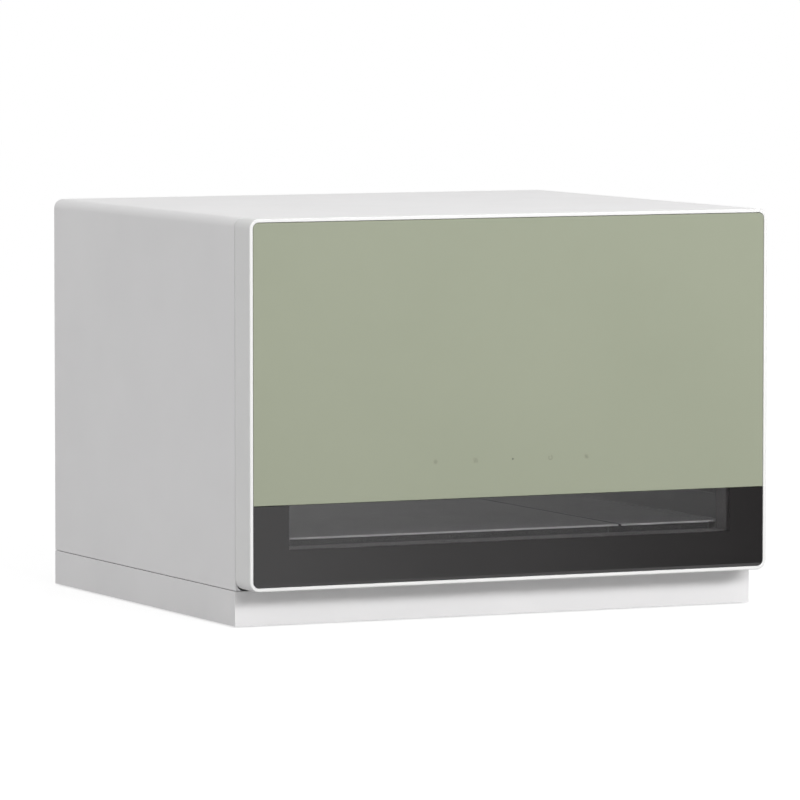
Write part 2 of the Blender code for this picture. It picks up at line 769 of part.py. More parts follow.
def make_fan():
    """An axial fan: a square frame whose struts carry the bearing tube, a stator and a rotor."""
    half = fan_size / 2
    body, _ = square_ring(half, half, fan_y, fan_back_y, fan_y, fan_y)
    frame = piece("fan_frame", body, fan_black, smooth=True)
    centre = (0, air_z)
    cut(frame, Shape().rod(centre, 1, fan_y - overrun, fan_back_y + overrun, fan_bore, fine_sides))
    base_y = fan_y + fan_base_wall
    reach = (half + fan_bore) / 2
    arm = fan_strut / 2
    outline = ((arm, arm), (arm, reach), (-arm, reach), (-arm, arm), (-reach, arm), (-reach, -arm),
               (-arm, -arm), (-arm, -reach), (arm, -reach), (arm, -arm), (reach, -arm), (reach, arm))
    join(frame, Shape().prism([(x, air_z + z) for x, z in outline], 1, fan_y, base_y))
    join(frame, Shape().rod(centre, 1, fan_y, base_y, fan_base_radius, fine_sides))
    tube_end = fan_back_y - fan_edge_gap - fan_hub_wall - running_gap
    join(frame, Shape().rod(centre, 1, fan_y, tube_end, fan_bearing_radius))
    cut(frame, Shape().rod(centre, 1, base_y, tube_end + overrun, fan_shaft_radius + bearing_gap, fine_sides))

    stator_start, stator_end = base_y + fit_gap, tube_end - running_gap
    stator = piece("fan_stator", Shape().rod(centre, 1, stator_start, stator_end, stator_core), copper,
                   smooth=True)
    long, thick = stator_radius, stator_tooth / 2
    join(stator, Shape().box((-long, stator_start, air_z - thick), (long, stator_end, air_z + thick)))
    join(stator, Shape().box((-thick, stator_start, air_z - long), (thick, stator_end, air_z + long)))
    cut(stator, Shape().rod(centre, 1, stator_start - overrun, stator_end + overrun,
                            fan_bearing_radius + fit_gap))

    hub_end = fan_back_y - fan_edge_gap
    hub_start = hub_end - fan_hub_depth
    rotor = piece("fan_rotor", Shape().rod(centre, 1, hub_start, hub_end, fan_hub_radius, fine_sides),
                  fan_black, "fan", smooth=True)
    inside = fan_hub_radius - fan_hub_wall
    cut(rotor, Shape().rod(centre, 1, hub_start - overrun, hub_end - fan_hub_wall, inside, fine_sides))
    join(rotor, Shape().rod(centre, 1, base_y + running_gap, hub_end - fan_hub_wall / 2, fan_shaft_radius))
    blades = Shape()
    middle = Vector((0, (hub_start + hub_end) / 2, air_z))
    for index in range(fan_blades):
        fan_blade(blades, middle, 2 * math.pi * index / fan_blades)
    bmesh.ops.triangulate(blades.mesh, faces=blades.mesh.faces)
    join(rotor, blades)


def fan_blade(blades, middle, turn):
    """A twisted blade from just inside the hub's wall to the running gap inside the frame's bore."""
    outwards = Vector((math.cos(turn), 0, math.sin(turn)))
    around = Vector((-math.sin(turn), 0, math.cos(turn)))
    back = Vector((0, 1, 0))
    long, thin = fan_blade_chord / 2, fan_blade_wall / 2
    loops = []
    for radius, pitch in ((fan_hub_radius - fan_hub_wall / 2, fan_root_pitch),
                          (fan_bore - fan_tip_gap, fan_tip_pitch)):
        chord = around * math.cos(pitch) + back * math.sin(pitch)
        normal = around * math.sin(pitch) - back * math.cos(pitch)
        centre = middle + outwards * math.sqrt(radius ** 2 - (long * math.cos(pitch)) ** 2)
        loops.append([centre + chord * a * long + normal * b * thin
                      for a, b in ((-1, -1), (1, -1), (1, 1), (-1, 1))])
    blades.loft(loops)


def make_filter():
    """A cover with a sleeve that slides into the rear panel's port and carries the pleated filter."""
    sleeve, room = square_ring(sleeve_half, sleeve_half - sleeve_wall, sleeve_y, cover_y + cover_wall / 2,
                               sleeve_y - overrun, cover_y)
    cover = piece("filter_cover", sleeve, white, "filter")
    half = cover_side / 2
    join(cover, Shape().box((-half, cover_y, air_z - half), (half, cover_y + cover_wall, air_z + half)))
    inside = sleeve_half - sleeve_wall
    start, end = cover_y - overrun, cover_y + cover_wall + overrun
    finger_z = air_z + inside - finger_slot_height / 2 - cover_wall
    cut(cover, room)
    slots = Shape()
    slots.box((-finger_slot_width / 2, start, finger_z - finger_slot_height / 2),
              (finger_slot_width / 2, end, finger_z + finger_slot_height / 2))
    wide = inside - cover_slot_pitch / 2
    top = finger_z - finger_slot_height / 2 - cover_slot_pitch
    low = air_z - inside + cover_slot_pitch / 2
    rows = count_in(top - low, cover_slot_pitch)
    for row in range(rows):
        z = low + row * cover_slot_pitch
        slots.box((-wide, start, z), (wide, end, z + cover_slot))
    cut(cover, slots)

    back = cover_y - filter_back_gap
    front = back - filter_depth
    half = inside - fit_gap
    pitch = 2 * half / filter_pleats
    lean = filter_sheet
    front_line = [(-half, front)]
    back_line = [(-half, front + lean)]
    for index in range(filter_pleats):
        x = -half + index * pitch
        front_line += [(x + pitch / 2, back - lean), (x + pitch, front)]
        back_line += [(x + pitch / 2, back), (x + pitch, front + lean)]
    piece("air_filter", Shape().prism(front_line + back_line[::-1], 2, air_z - half, air_z + half),
          filter_paper, "filter")


def make_control_board():
    """The control board stands on posts against the liner's rear wall, beside the fan."""
    half_x, half_z = control_width / 2, control_height / 2
    board = piece("control_board", Shape().box((control_x - half_x, control_y, air_z - half_z),
                                               (control_x + half_x, control_y + board_wall, air_z + half_z)),
                  board_green, smooth=True)
    posts = Shape()
    top = control_y + board_wall / 2
    for x in spread(2, control_width - 4 * post_radius):
        for z in spread(2, control_height - 4 * post_radius):
            posts.rod((control_x + x, air_z + z), 1, control_y - board_post, top, post_radius, post_sides)
    join(board, posts)
    parts = Shape()
    for x, z, wide, tall, deep in control_part_shares:
        x0, z0 = control_x + x * half_x, air_z + z * half_z
        parts.box((x0 - wide * half_x / 2, top, z0 - tall * half_z / 2),
                  (x0 + wide * half_x / 2, top + deep * control_part_height, z0 + tall * half_z / 2))
    for x, z in control_can_shares:
        parts.rod((control_x + x * half_x, air_z + z * half_z), 1, top, top + can_height, can_radius,
                  can_sides)
    join(board, parts)


def make_power_board():
    """The power board lies on posts in the plinth, with its parts upwards."""
    half_x, half_y = power_width / 2, power_depth / 2
    board = piece("power_board", Shape().box((power_x - half_x, power_y - half_y, power_z),
                                             (power_x + half_x, power_y + half_y, power_z + board_wall)),
                  board_green, smooth=True)
    parts = Shape()
    low = power_z + board_wall / 2
    for x, y, wide, deep, tall in power_part_shares:
        x0, y0 = power_x + x * half_x, power_y + y * half_y
        parts.box((x0 - wide * half_x / 2, y0 - deep * half_y / 2, low),
                  (x0 + wide * half_x / 2, y0 + deep * half_y / 2, low + tall * power_part_height))
    for x, y in power_can_shares:
        parts.rod((power_x + x * half_x, power_y + y * half_y), 2, low, low + can_height, can_radius,
                  can_sides)
    join(board, parts)


def make_inlet():
    """A recessed three-pin appliance inlet that snaps into the rear panel."""
    half_x, half_z = inlet_width / 2, inlet_height / 2
    outer_y = rear_outer_y + fit_gap
    mouth_y = outer_y + inlet_flange_wall
    inlet = piece("power_inlet", Shape().box((inlet_x - half_x, inlet_back_y, inlet_z - half_z),
                                             (inlet_x + half_x, (outer_y + mouth_y) / 2, inlet_z + half_z)),
                  black_plastic)
    wide, tall = half_x + inlet_flange, half_z + inlet_flange
    join(inlet, Shape().box((inlet_x - wide, outer_y, inlet_z - tall),
                            (inlet_x + wide, mouth_y, inlet_z + tall)))
    room_x, room_z = half_x - inlet_wall, half_z - inlet_wall
    floor_y = mouth_y - inlet_recess
    cut(inlet, Shape().box((inlet_x - room_x, floor_y, inlet_z - room_z),
                           (inlet_x + room_x, mouth_y + overrun, inlet_z + room_z)))
    pins = Shape()
    for across, up in ((-1, -1), (0, 1), (1, -1)):
        x0, z0 = inlet_x + across * inlet_pin_spread, inlet_z + up * inlet_pin_rise
        pins.box((x0 - inlet_pin_width / 2, floor_y - overrun, z0 - inlet_pin_height / 2),
                 (x0 + inlet_pin_width / 2, floor_y + inlet_pin_length, z0 + inlet_pin_height / 2))
    join(inlet, pins)


def make_latch():
    """Magnets on the drawer meet strikers on the liner's flange, beside a contact and a sensor."""
    z = latch_z
    magnet_y = front_back_y + fit_gap
    striker_y = flange_y - fit_gap - striker_depth
    for word, side in (("left", -1), ("right", 1)):
        centre = (side * magnet_offset, z)
        magnet = Shape().rod(centre, 1, magnet_y, magnet_y + magnet_depth, magnet_radius)
        piece(f"latch_magnet_{word}", magnet, magnet_nickel, "drawer", smooth=True)
        striker = Shape().rod(centre, 1, striker_y, striker_y + striker_depth, magnet_radius)
        piece(f"latch_striker_{word}", striker, rail_steel, smooth=True)
    sensor_x = chamber_half - sensor_inset
    sensor_y = flange_back_y + fit_gap
    piece("drawer_sensor", Shape().box((sensor_x - sensor_width, sensor_y, z - sensor_height / 2),
                                       (sensor_x, sensor_y + sensor_depth, z + sensor_height / 2)),
          black_plastic)
    plate_end = magnet_y + contact_plate_depth
    half_x, half_z = contact_width / 2, contact_height / 2
    piece("contact_plate", Shape().box((-half_x, magnet_y, z - half_z), (half_x, plate_end, z + half_z)),
          gold_contact, "drawer")
    block_y = plate_end + fit_gap
    block = piece("contact_block", Shape().box((-half_x, block_y, z - half_z),
                                               (half_x, flange_back_y + contact_block_depth, z + half_z)),
                  black_plastic)
    collar = flange_back_y + fit_gap
    join(block, Shape().box((-half_x - contact_plate_depth, collar, z - half_z),
                            (half_x + contact_plate_depth, collar + contact_plate_depth, z + half_z)))


def make_front_casing():
    """The white frame of the drawer front. Its front edge is the rim round the glass."""
    rim_y = face_y + rim_chamfer
    end = cabinet_y - front_seam
    small = corner_radius - rim_chamfer
    face = rounded(rim_chamfer - half_width, half_width - rim_chamfer, front_z + rim_chamfer,
                   top_z - rim_chamfer, small, small)
    full = rounded(-half_width, half_width, front_z, top_z, corner_radius, corner_radius)
    loops = [[lift(pair, 1, y) for pair in outline]
             for outline, y in ((face, face_y), (full, rim_y), (full, end))]
    casing = piece("front_casing", Shape().loft(loops), white_rim, "drawer", smooth=True)
    room = rounded(-front_inside, front_inside, front_low, front_high, glass_radius, glass_radius)
    cut(casing, Shape().prism(room, 1, face_y - overrun, end + overrun))


def make_front_panels():
    """The green panel above and the smoked glass below, edge to edge."""
    side = front_inside - fit_gap
    radius = glass_radius - fit_gap
    end = glass_y + glass_wall
    high = rounded(-side, side, split_z + fit_gap / 2, front_high - fit_gap, 0, radius)
    low = rounded(-side, side, front_low + fit_gap, split_z - fit_gap / 2, radius, 0)
    piece("green_panel", Shape().prism(high, 1, glass_y, end), green, "drawer", smooth=True)
    piece("window_glass", Shape().prism(low, 1, glass_y, end), smoked, "drawer", smooth=True)


def make_front_core():
    """The moulding behind the panels: a face, ribs behind it and a sleeve round the window.

    The sleeve reaches through the inner panel."""
    side = front_inside - fit_gap
    low, high = front_low + fit_gap, front_high - fit_gap
    radius = glass_radius - fit_gap
    end = inner_panel_y - fit_gap
    outline = rounded(-side, side, low, high, radius, radius)
    core = piece("front_core", Shape().prism(outline, 1, core_y, end), dark_moulding, "drawer", smooth=True)
    pocket_y = core_y + core_wall
    sleeve = window_half + core_wall
    sleeve_low, sleeve_high = sill_z - core_wall, window_top + core_wall
    edge = radius + core_wall
    join(core, Shape().box((-sleeve, end - core_wall, sleeve_low), (sleeve, front_back_y, sleeve_high)))
    pockets = Shape()
    bay = (2 * side - 2 * edge - 2 * core_rib) / 3
    for index in range(3):
        x = edge - side + index * (bay + core_rib)
        pockets.box((x, pocket_y, sleeve_high), (x + bay, end + overrun, high - edge))
        pockets.box((x, pocket_y, low + edge), (x + bay, end + overrun, sleeve_low))
    for way in (-1, 1):
        x0, x1 = sorted((way * sleeve, way * (side - core_wall)))
        pockets.box((x0, pocket_y, sleeve_low + core_rib), (x1, end + overrun, sleeve_high - core_rib))
    pockets.box((-window_half, core_y - overrun, sill_z),
                (window_half, front_back_y + overrun, window_top))
    cut(core, pockets)
    wide, tall = bay / 2 + core_rib + touch_lap, touch_height / 2
    piece("touch_board", Shape().box((-wide, core_y, touch_z - tall),
                                     (wide, core_y + board_wall, touch_z + tall)), board_green, "drawer")
    wide, tall = wide + fit_gap, tall + fit_gap
    cut(core, Shape().box((-wide, core_y - overrun, touch_z - tall),
                          (wide, pocket_y + overrun, touch_z + tall)))

    panel = piece("inner_panel", Shape().prism(outline, 1, inner_panel_y, front_back_y), white, "drawer",
                  smooth=True)
    wide = sleeve + fit_gap
    cut(panel, Shape().box((-wide, inner_panel_y - overrun, sleeve_low - fit_gap),
                           (wide, front_back_y + overrun, sleeve_high + fit_gap)))


def make_gasket():
    """The seal on the inner panel, which meets the liner's flange all round."""
    side = half_width - gasket_side_inset + gasket_width / 2
    low = plinth_top + gasket_low_inset
    high = shell_ceiling - gasket_top_inset + gasket_width / 2
    start, end = front_back_y + fit_gap, flange_y - fit_gap
    radius = gasket_width
    outer = rounded(-side, side, low, high, radius, radius)
    nose = rounded(gasket_nose - side, side - gasket_nose, low + gasket_nose, high - gasket_nose,
                   radius - gasket_nose, radius - gasket_nose)
    loops = [[lift(pair, 1, y) for pair in line]
             for line, y in ((outer, start), (outer, end - gasket_nose), (nose, end))]
    seal = piece("front_gasket", Shape().loft(loops), grey_silicone, "drawer", smooth=True)
    cut(seal, Shape().box((gasket_width - side, start - overrun, low + gasket_width),
                          (side - gasket_width, end + overrun, high - gasket_width)))


def make_tub():
    """The drawer's steel tub, between the slides. Its front wall stays below the window's sill."""
    tub = piece("drawer_tub", Shape().box((-tub_outside, tub_y, tub_z), (tub_outside, tub_back_y, tub_rim)),
                bright_steel, "drawer")
    cut(tub, Shape().box((-tub_inside, tub_y + tub_wall, tub_floor),
                         (tub_inside, tub_back_y - tub_wall, tub_rim + overrun)))
    cut(tub, Shape().box((-tub_inside, tub_y - overrun, sill_z - tub_sill_gap),
                         (tub_inside, tub_y + tub_wall + overrun, tub_rim + overrun)))


def tray_spans():
    """The left and right trays from side to side. Each has a drip tray of the same width below it."""
    return (("left", -drip_half, tray_split - tray_seam / 2), ("right", tray_split + tray_seam / 2, drip_half))


def make_drip_trays():
    """Two plain basins side by side in the tub."""
    for word, x0, x1 in tray_spans():
        tray = piece(f"{word}_drip_tray", Shape().box((x0, drip_y, drip_z), (x1, drip_back_y, drip_rim)),
                     drip_plastic, f"{word}_drip")
        cut(tray, Shape().box((x0 + drip_wall, drip_y + drip_wall, drip_z + drip_wall),
                              (x1 - drip_wall, drip_back_y - drip_wall, drip_rim + overrun)))


def make_trays():
    """A smooth tray on the rim of each drip tray, drained by slots near its back edge.

    A rib below keeps it in place."""
    inset = drip_wall + running_gap
    low_y, high_y = drip_y + inset, drip_back_y - inset
    for word, x0, x1 in tray_spans():
        tray = piece(f"{word}_tray", Shape().box((x0, tray_y, tray_z), (x1, drip_back_y, tray_top)),
                     tray_plastic, f"{word}_lift")
        ribs = Shape()
        rib_low, rib_high = x0 + inset, x1 - inset
        ribs.box((rib_low, low_y, tray_z - tray_rib_depth), (rib_high, high_y, tray_z + tray_wall / 2))
        join(tray, ribs)
        cut(tray, Shape().box((rib_low + tray_rib_wall, low_y + tray_rib_wall,
                               tray_z - tray_rib_depth - overrun),
                              (rib_high - tray_rib_wall, high_y - tray_rib_wall, tray_z)))
        border = (x0, x0 + tray_border_width) if word == "left" else (x1 - tray_border_width, x1)
        join(tray, Shape().box((border[0], tray_y, tray_z + tray_wall / 2),
                               (border[1], drip_back_y, tray_top + tray_border_height)))
        slots = Shape()
        middle_x = (rib_low + rib_high) / 2
        columns = count_in(rib_high - rib_low - 2 * tray_margin - tray_slot_length, tray_slot_pitch_x)
        for x in spread(columns, tray_slot_pitch_x):
            for row in range(tray_slot_rows):
                y = high_y - tray_slot_setback - row * tray_slot_pitch_y
                slots.box((middle_x + x - tray_slot_length / 2, y - tray_slot_width / 2, tray_z - overrun),
                          (middle_x + x + tray_slot_length / 2, y + tray_slot_width / 2, tray_top + overrun))
        cut(tray, slots)


# Routes of the three leads inside the cabinet, as shares in X, Y and Z of the way from their far end
# to their near one, chosen by hand.
mains_route_shares = ((1.00, 1.00, 1.00), (1.00, 0.86, 1.00), (0.98, 0.71, 0.90), (0.86, 0.62, 0.64),
                      (0.67, 0.57, 0.34), (0.39, 0.48, 0.08), (0.10, 0.30, 0.00), (0.00, 0.13, 0.00),
                      (0.00, 0.00, 0.00))
fan_route_shares = ((1.00, 1.00, 1.00), (0.88, 1.00, 0.90), (0.72, 0.92, 0.55), (0.48, 0.72, 0.18),
                    (0.22, 0.43, 0.00), (0.03, 0.23, 0.00), (0.00, 0.00, 0.00))
board_route_shares = ((1.00, 1.00, 1.00), (0.99, 1.06, 0.80), (0.94, 1.22, 0.57), (0.84, 1.38, 0.33),
                      (0.65, 1.46, 0.13), (0.39, 1.34, 0.03), (0.18, 1.02, 0.01), (0.06, 0.62, 0.00),
                      (0.01, 0.26, 0.00), (0.00, 0.00, 0.00))
lead_steps = 2


def smooth_route(near, far, shares):
    """Points along a Catmull-Rom curve through the route's own points, from its near end to its far one."""
    ends = [far + Vector(share) * (near - far) for share in shares]
    path = [2 * ends[0] - ends[1]] + ends + [2 * ends[-1] - ends[-2]]
    result = []
    for i in range(1, len(path) - 2):
        a, b, c, d = path[i - 1:i + 3]
        for step in range(lead_steps):
            t = step / lead_steps
            result.append((2 * b + (c - a) * t + (2 * a - 5 * b + 4 * c - d) * t ** 2
                           + (3 * b - a - 3 * c + d) * t ** 3) / 2)
    return result + [ends[-1]]


def make_lead(name, points, radius, material):
    curve = bpy.data.curves.new(name, "CURVE")
    curve.dimensions = "3D"
    curve.bevel_depth = radius
    curve.bevel_resolution = 1
    curve.use_fill_caps = True
    spline = curve.splines.new("POLY")
    spline.points.add(len(points) - 1)
    for point, place_at in zip(spline.points, points):
        point.co = (*place_at, 1)
    curve.materials.append(material)
    item = bpy.data.objects.new(name, curve)
    bpy.context.scene.collection.objects.link(item)
    item.parent = bodies["cabinet"]


def board_part(shares, half, centre, base, height):
    """Where a board part's middle lies, and how high it is, from its row of shares."""
    across, along, _, long, tall = shares
    return centre[0] + across * half[0], centre[1] + along * half[1], long * half[1] / 2, base + tall * height


def make_leads():
    """Leads from the inlet and the control board to the power board, and from the fan to its solder pads."""
    half = (power_width / 2, power_depth / 2)
    ends = []
    for shares in (power_part_shares[2], power_part_shares[0]):
        x, y, reach, top = board_part(shares, half, (power_x, power_y), power_z + board_wall / 2,
                                      power_part_height)
        ends.append(Vector((x, y + reach + seam_gap, (power_z + board_wall + top) / 2)))
    inlet_end = Vector((inlet_x, inlet_back_y - seam_gap, inlet_z))
    make_lead("mains_lead", smooth_route(inlet_end, ends[0], mains_route_shares), mains_lead_radius,
              lead_grey)

    half = (control_width / 2, control_height / 2)
    top = control_y + board_wall / 2
    x, z, reach, out = board_part(control_part_shares[3], half, (control_x, air_z), top, control_part_height)
    plug_end = Vector((x, (control_y + board_wall + out) / 2, z - reach - seam_gap))
    make_lead("board_lead", smooth_route(plug_end, ends[1], board_route_shares), thin_lead_radius, lead_white)

    fan_end = Vector((-fan_size / 2 - seam_gap, fan_back_y - fan_lead_inset, air_z + fan_lead_rise))
    solder_end = Vector((control_x + control_width / 2 - fan_lead_inset, control_y + board_wall + seam_gap,
                         fan_end.z + fan_lead_inset))
    make_lead("fan_lead", smooth_route(fan_end, solder_end, fan_route_shares), thin_lead_radius, lead_white)


make_bodies()
make_plinth()
make_feet()
make_shell()
make_rear_panel()
make_rear_screws()
make_liner()
make_slides()
make_lamps()
make_duct()
make_heater()
make_fan()
make_filter()
make_control_board()
make_power_board()
make_inlet()
make_latch()
make_front_casing()
make_front_panels()
make_front_core()
make_gasket()
make_tub()
make_drip_trays()
make_trays()
make_leads()
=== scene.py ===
# %% [markdown]
# # A sterilizing dryer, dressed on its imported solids
# The solids of the dryer are already modelled and jointed, and this file gives them their looks.
# It loads them as a fixed frame, replaces the ones that need finer shapes, and paints every
# surface with node materials. Each step starts with a note on what the real thing is.

# %% Load the frame
import json
import math

import bmesh
import bpy
from mathutils import Matrix, Vector


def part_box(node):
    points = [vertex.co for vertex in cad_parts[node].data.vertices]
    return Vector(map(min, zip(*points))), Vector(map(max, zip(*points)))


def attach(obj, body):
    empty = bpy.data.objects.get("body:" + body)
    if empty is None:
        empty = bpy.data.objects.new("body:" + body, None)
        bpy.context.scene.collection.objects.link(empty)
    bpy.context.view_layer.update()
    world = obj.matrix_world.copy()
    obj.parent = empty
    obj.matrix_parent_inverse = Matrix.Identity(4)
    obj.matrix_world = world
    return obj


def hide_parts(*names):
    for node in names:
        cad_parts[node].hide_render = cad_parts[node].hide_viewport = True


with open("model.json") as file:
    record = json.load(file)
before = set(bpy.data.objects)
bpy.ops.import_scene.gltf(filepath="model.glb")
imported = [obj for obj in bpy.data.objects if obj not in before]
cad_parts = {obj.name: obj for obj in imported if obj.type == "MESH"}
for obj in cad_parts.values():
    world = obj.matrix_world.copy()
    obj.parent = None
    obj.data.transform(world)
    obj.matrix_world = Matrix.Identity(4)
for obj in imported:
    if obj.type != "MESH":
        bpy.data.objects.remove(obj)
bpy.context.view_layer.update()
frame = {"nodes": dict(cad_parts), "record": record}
solids = frame["nodes"]

# %% [markdown]
# ## The camera
# A product photograph is taken from far away with a long lens, which keeps the edges nearly
# parallel. The camera's place and lens were found once by fitting the dryer's straight edges,
# so they are plain numbers here, and everything else follows from the frame.

# %% Set the camera
camera = bpy.data.objects.new("portrait_camera", bpy.data.cameras.new("portrait_camera"))
camera.location = (-2.02678, -4.37700, 0.49075)
camera.rotation_euler = (math.radians(90 - 4.1383), 0, math.radians(-24.8051))
camera.data.lens = 301.68
bpy.context.scene.collection.objects.link(camera)
bpy.context.scene.camera = camera
bpy.context.scene.view_settings.view_transform = "Standard"
print("camera at", tuple(round(x, 2) for x in camera.location))

# %% [markdown]
# ## Helpers for shader nodes
# A node tree is easier to read as a list of calls than as a page of links. `wire` adds one node,
# sets its properties, and then sets or links its inputs. An input that gets another node's
# output is linked, and any other value is typed into the socket.

# %% Wire nodes


def wire(tree, kind, inputs=None, **settings):
    made = tree.nodes.new("ShaderNode" + kind)
    for name, value in settings.items():
        setattr(made, name, value)
    for name, value in (inputs or {}).items():
        if isinstance(value, bpy.types.NodeSocket):
            tree.links.new(value, made.inputs[name])
        else:
            made.inputs[name].default_value = value
    return made


def number(tree, operation, first, second=0.0, third=0.0, clamp=False):
    return wire(tree, "Math", {0: first, 1: second, 2: third}, operation=operation,
                use_clamp=clamp).outputs[0]


def spread_value(tree, value, low, high, to_low=0.0, to_high=1.0):
    """Maps low..high of a value to to_low..to_high, and holds it there beyond them."""
    return wire(tree, "MapRange", {"Value": value, "From Min": low, "From Max": high,
                                   "To Min": to_low, "To Max": to_high}).outputs["Result"]


def tint(tree, share, low, high):
    """A colour between two others."""
    mixed = wire(tree, "Mix", {"Factor": share}, data_type="RGBA")
    for socket, value in ((mixed.inputs[6], low), (mixed.inputs[7], high)):
        if isinstance(value, bpy.types.NodeSocket):
            tree.links.new(value, socket)
        else:
            socket.default_value = (*value, 1)
    return mixed.outputs[2]


print("node helpers are ready")

# %% [markdown]
# ## Room light
# The photograph has a white background, a bright front, a slightly darker top and a side in
# soft shade. A white world would light all sides the same, so the world is white only where
# it is seen, mirrored or seen through glass, and lights the object with about half of that.

# %% White surroundings
fill_light = 0.55
world = bpy.data.worlds.new("studio")
world.use_nodes = True
bpy.context.scene.world = world
tree = world.node_tree
path = wire(tree, "LightPath")
seen = number(tree, "MAXIMUM", path.outputs["Is Camera Ray"], path.outputs["Is Glossy Ray"])
seen = number(tree, "MAXIMUM", seen, path.outputs["Is Transmission Ray"])
background = tree.nodes["Background"]
background.inputs["Color"].default_value = (1, 1, 1, 1)
tree.links.new(spread_value(tree, seen, 0, 1, fill_light, 1), background.inputs["Strength"])
print("world lights with", fill_light)

# %% [markdown]
# ## Lamps
# A long softbox stands in front of the dryer, a little above it and to the right, so it lights
# the front and leaves the left side alone. It throws the shade of the drawer front onto the
# plinth. A broad overhead light brightens the top, and a weak softbox the side. A small light
# under the chamber's ceiling shows the trays through the window. The camera sees none of them.

# %% Softbox and overhead light
def aim(lamp, place, target):
    lamp.location = place
    lamp.rotation_euler = (Vector(target) - Vector(place)).to_track_quat("-Z", "Y").to_euler()
    bpy.context.scene.collection.objects.link(lamp)
    lamp.visible_camera = False
    return lamp


def softbox(name, place, target, size, power):
    light = bpy.data.lights.new(name, "AREA")
    light.shape = "RECTANGLE"
    light.size, light.size_y = size
    light.energy = power
    return aim(bpy.data.objects.new(name, light), place, target)


key_distance, key_height, key_turn = 1.6, math.radians(21), math.radians(15)
front_middle = Vector((0, -0.18, 0.14))
key_way = Vector((math.sin(key_turn) * math.cos(key_height), -math.cos(key_turn) * math.cos(key_height),
                  math.sin(key_height)))
softbox("front_softbox", front_middle + key_way * key_distance, front_middle, (1.7, 0.30), 19.0)

overhead = bpy.data.lights.new("overhead", "SUN")
overhead.energy = 0.36
overhead.angle = math.radians(50)
aim(bpy.data.objects.new("overhead", overhead), (0, 0, 2), (0, 0.1, 0))
softbox("side_softbox", (-1.6, 0.25, 0.40), (-0.2, 0.05, 0.14), (1.0, 0.8), 2.15)
softbox("chamber_light", (0, 0.01, 0.256), (0, 0.01, 0), (0.36, 0.20), 0.057)

# %% [markdown]
# ## The floor and the reflection card
# The floor is a large pale sheet that takes the soft shadow. It glows a little for the camera
# alone, which makes it read as the white background without lighting the object.
# The smoked glass mirrors what stands in front of it: bright at its left end, dark at its right.
# A studio does that with a graded card, so one stands there for mirrored rays only.

# %% Floor


def sheet_of(name, corners):
    mesh = bpy.data.meshes.new(name)
    mesh.from_pydata(corners, [], [(0, 1, 2, 3)])
    made = bpy.data.objects.new(name, mesh)
    bpy.context.scene.collection.objects.link(made)
    return made


floor_reach = 9.0
floor = sheet_of("floor", [(x * floor_reach, y * floor_reach, 0) for x, y in ((-1, -1), (1, -1), (1, 1), (-1, 1))])
paper = bpy.data.materials.new("backdrop_paper")
paper.use_nodes = True
tree = paper.node_tree
shader = tree.nodes["Principled BSDF"]
fleck = wire(tree, "TexNoise", {"Vector": wire(tree, "TexCoord").outputs["Object"], "Scale": 40.0})
tree.links.new(tint(tree, fleck.outputs["Fac"], (0.41, 0.41, 0.41), (0.43, 0.43, 0.43)),
               shader.inputs["Base Color"])
shader.inputs["Roughness"].default_value = 0.9
shader.inputs["Specular IOR Level"].default_value = 0.0
path = wire(tree, "LightPath")
seen = number(tree, "MAXIMUM", path.outputs["Is Camera Ray"], path.outputs["Is Glossy Ray"])
seen = number(tree, "MAXIMUM", seen, path.outputs["Is Transmission Ray"])
shader.inputs["Emission Color"].default_value = (1, 1, 1, 1)
tree.links.new(spread_value(tree, seen, 0, 1, 0, 0.72), shader.inputs["Emission Strength"])
floor.data.materials.append(paper)
print("floor of", 2 * floor_reach, "m")

# %% Reflection card
card_y, card_left, card_right, card_top = -0.45, -0.75, 0.95, 0.30
card_white_at, card_black_at = -0.07, 0.34
card = sheet_of("reflection_card", [(card_left, card_y, 0.002), (card_right, card_y, 0.002),
                                    (card_right, card_y, card_top), (card_left, card_y, card_top)])
for switch in ("visible_camera", "visible_diffuse", "visible_shadow", "visible_transmission",
               "visible_volume_scatter"):
    setattr(card, switch, False)
graded = bpy.data.materials.new("graded_card")
graded.use_nodes = True
tree = graded.node_tree
across = wire(tree, "SeparateXYZ", {"Vector": wire(tree, "TexCoord").outputs["Object"]}).outputs["X"]
glow = wire(tree, "Emission", {"Color": (1, 1, 1, 1),
                               "Strength": spread_value(tree, across, card_white_at, card_black_at, 1, 0)})
tree.links.new(glow.outputs[0], tree.nodes["Material Output"].inputs["Surface"])
card.data.materials.append(graded)
print("card fades out between", card_white_at, "and", card_black_at)

# %% [markdown]
# ## Surface effects shared by several finishes
# Moulded plastic, steel and rubber differ mainly in three things that change over the surface:
# how the colour drifts, where it is shinier, and its small relief. Each effect below is one
# node group that puts out those three as Tone, Gloss and Height between 0 and 1, so that any
# finish can use any effect. Sizes are in metres, because the texture is laid in object space.

# %% Start an effect


def start_effect(name, inputs, outputs=("Tone", "Gloss", "Height")):
    group = bpy.data.node_groups.new(name, "ShaderNodeTree")
    for socket, value in inputs.items():
        kind = "NodeSocketVector" if isinstance(value, tuple) else "NodeSocketFloat"
        group.interface.new_socket(socket, in_out="INPUT", socket_type=kind).default_value = value
    for socket in outputs:
        group.interface.new_socket(socket, in_out="OUTPUT", socket_type="NodeSocketFloat")
    taken = group.nodes.new("NodeGroupInput").outputs
    given = group.nodes.new("NodeGroupOutput").inputs
    return group, taken, given


def place_on(tree):
    return wire(tree, "TexCoord").outputs["Object"]


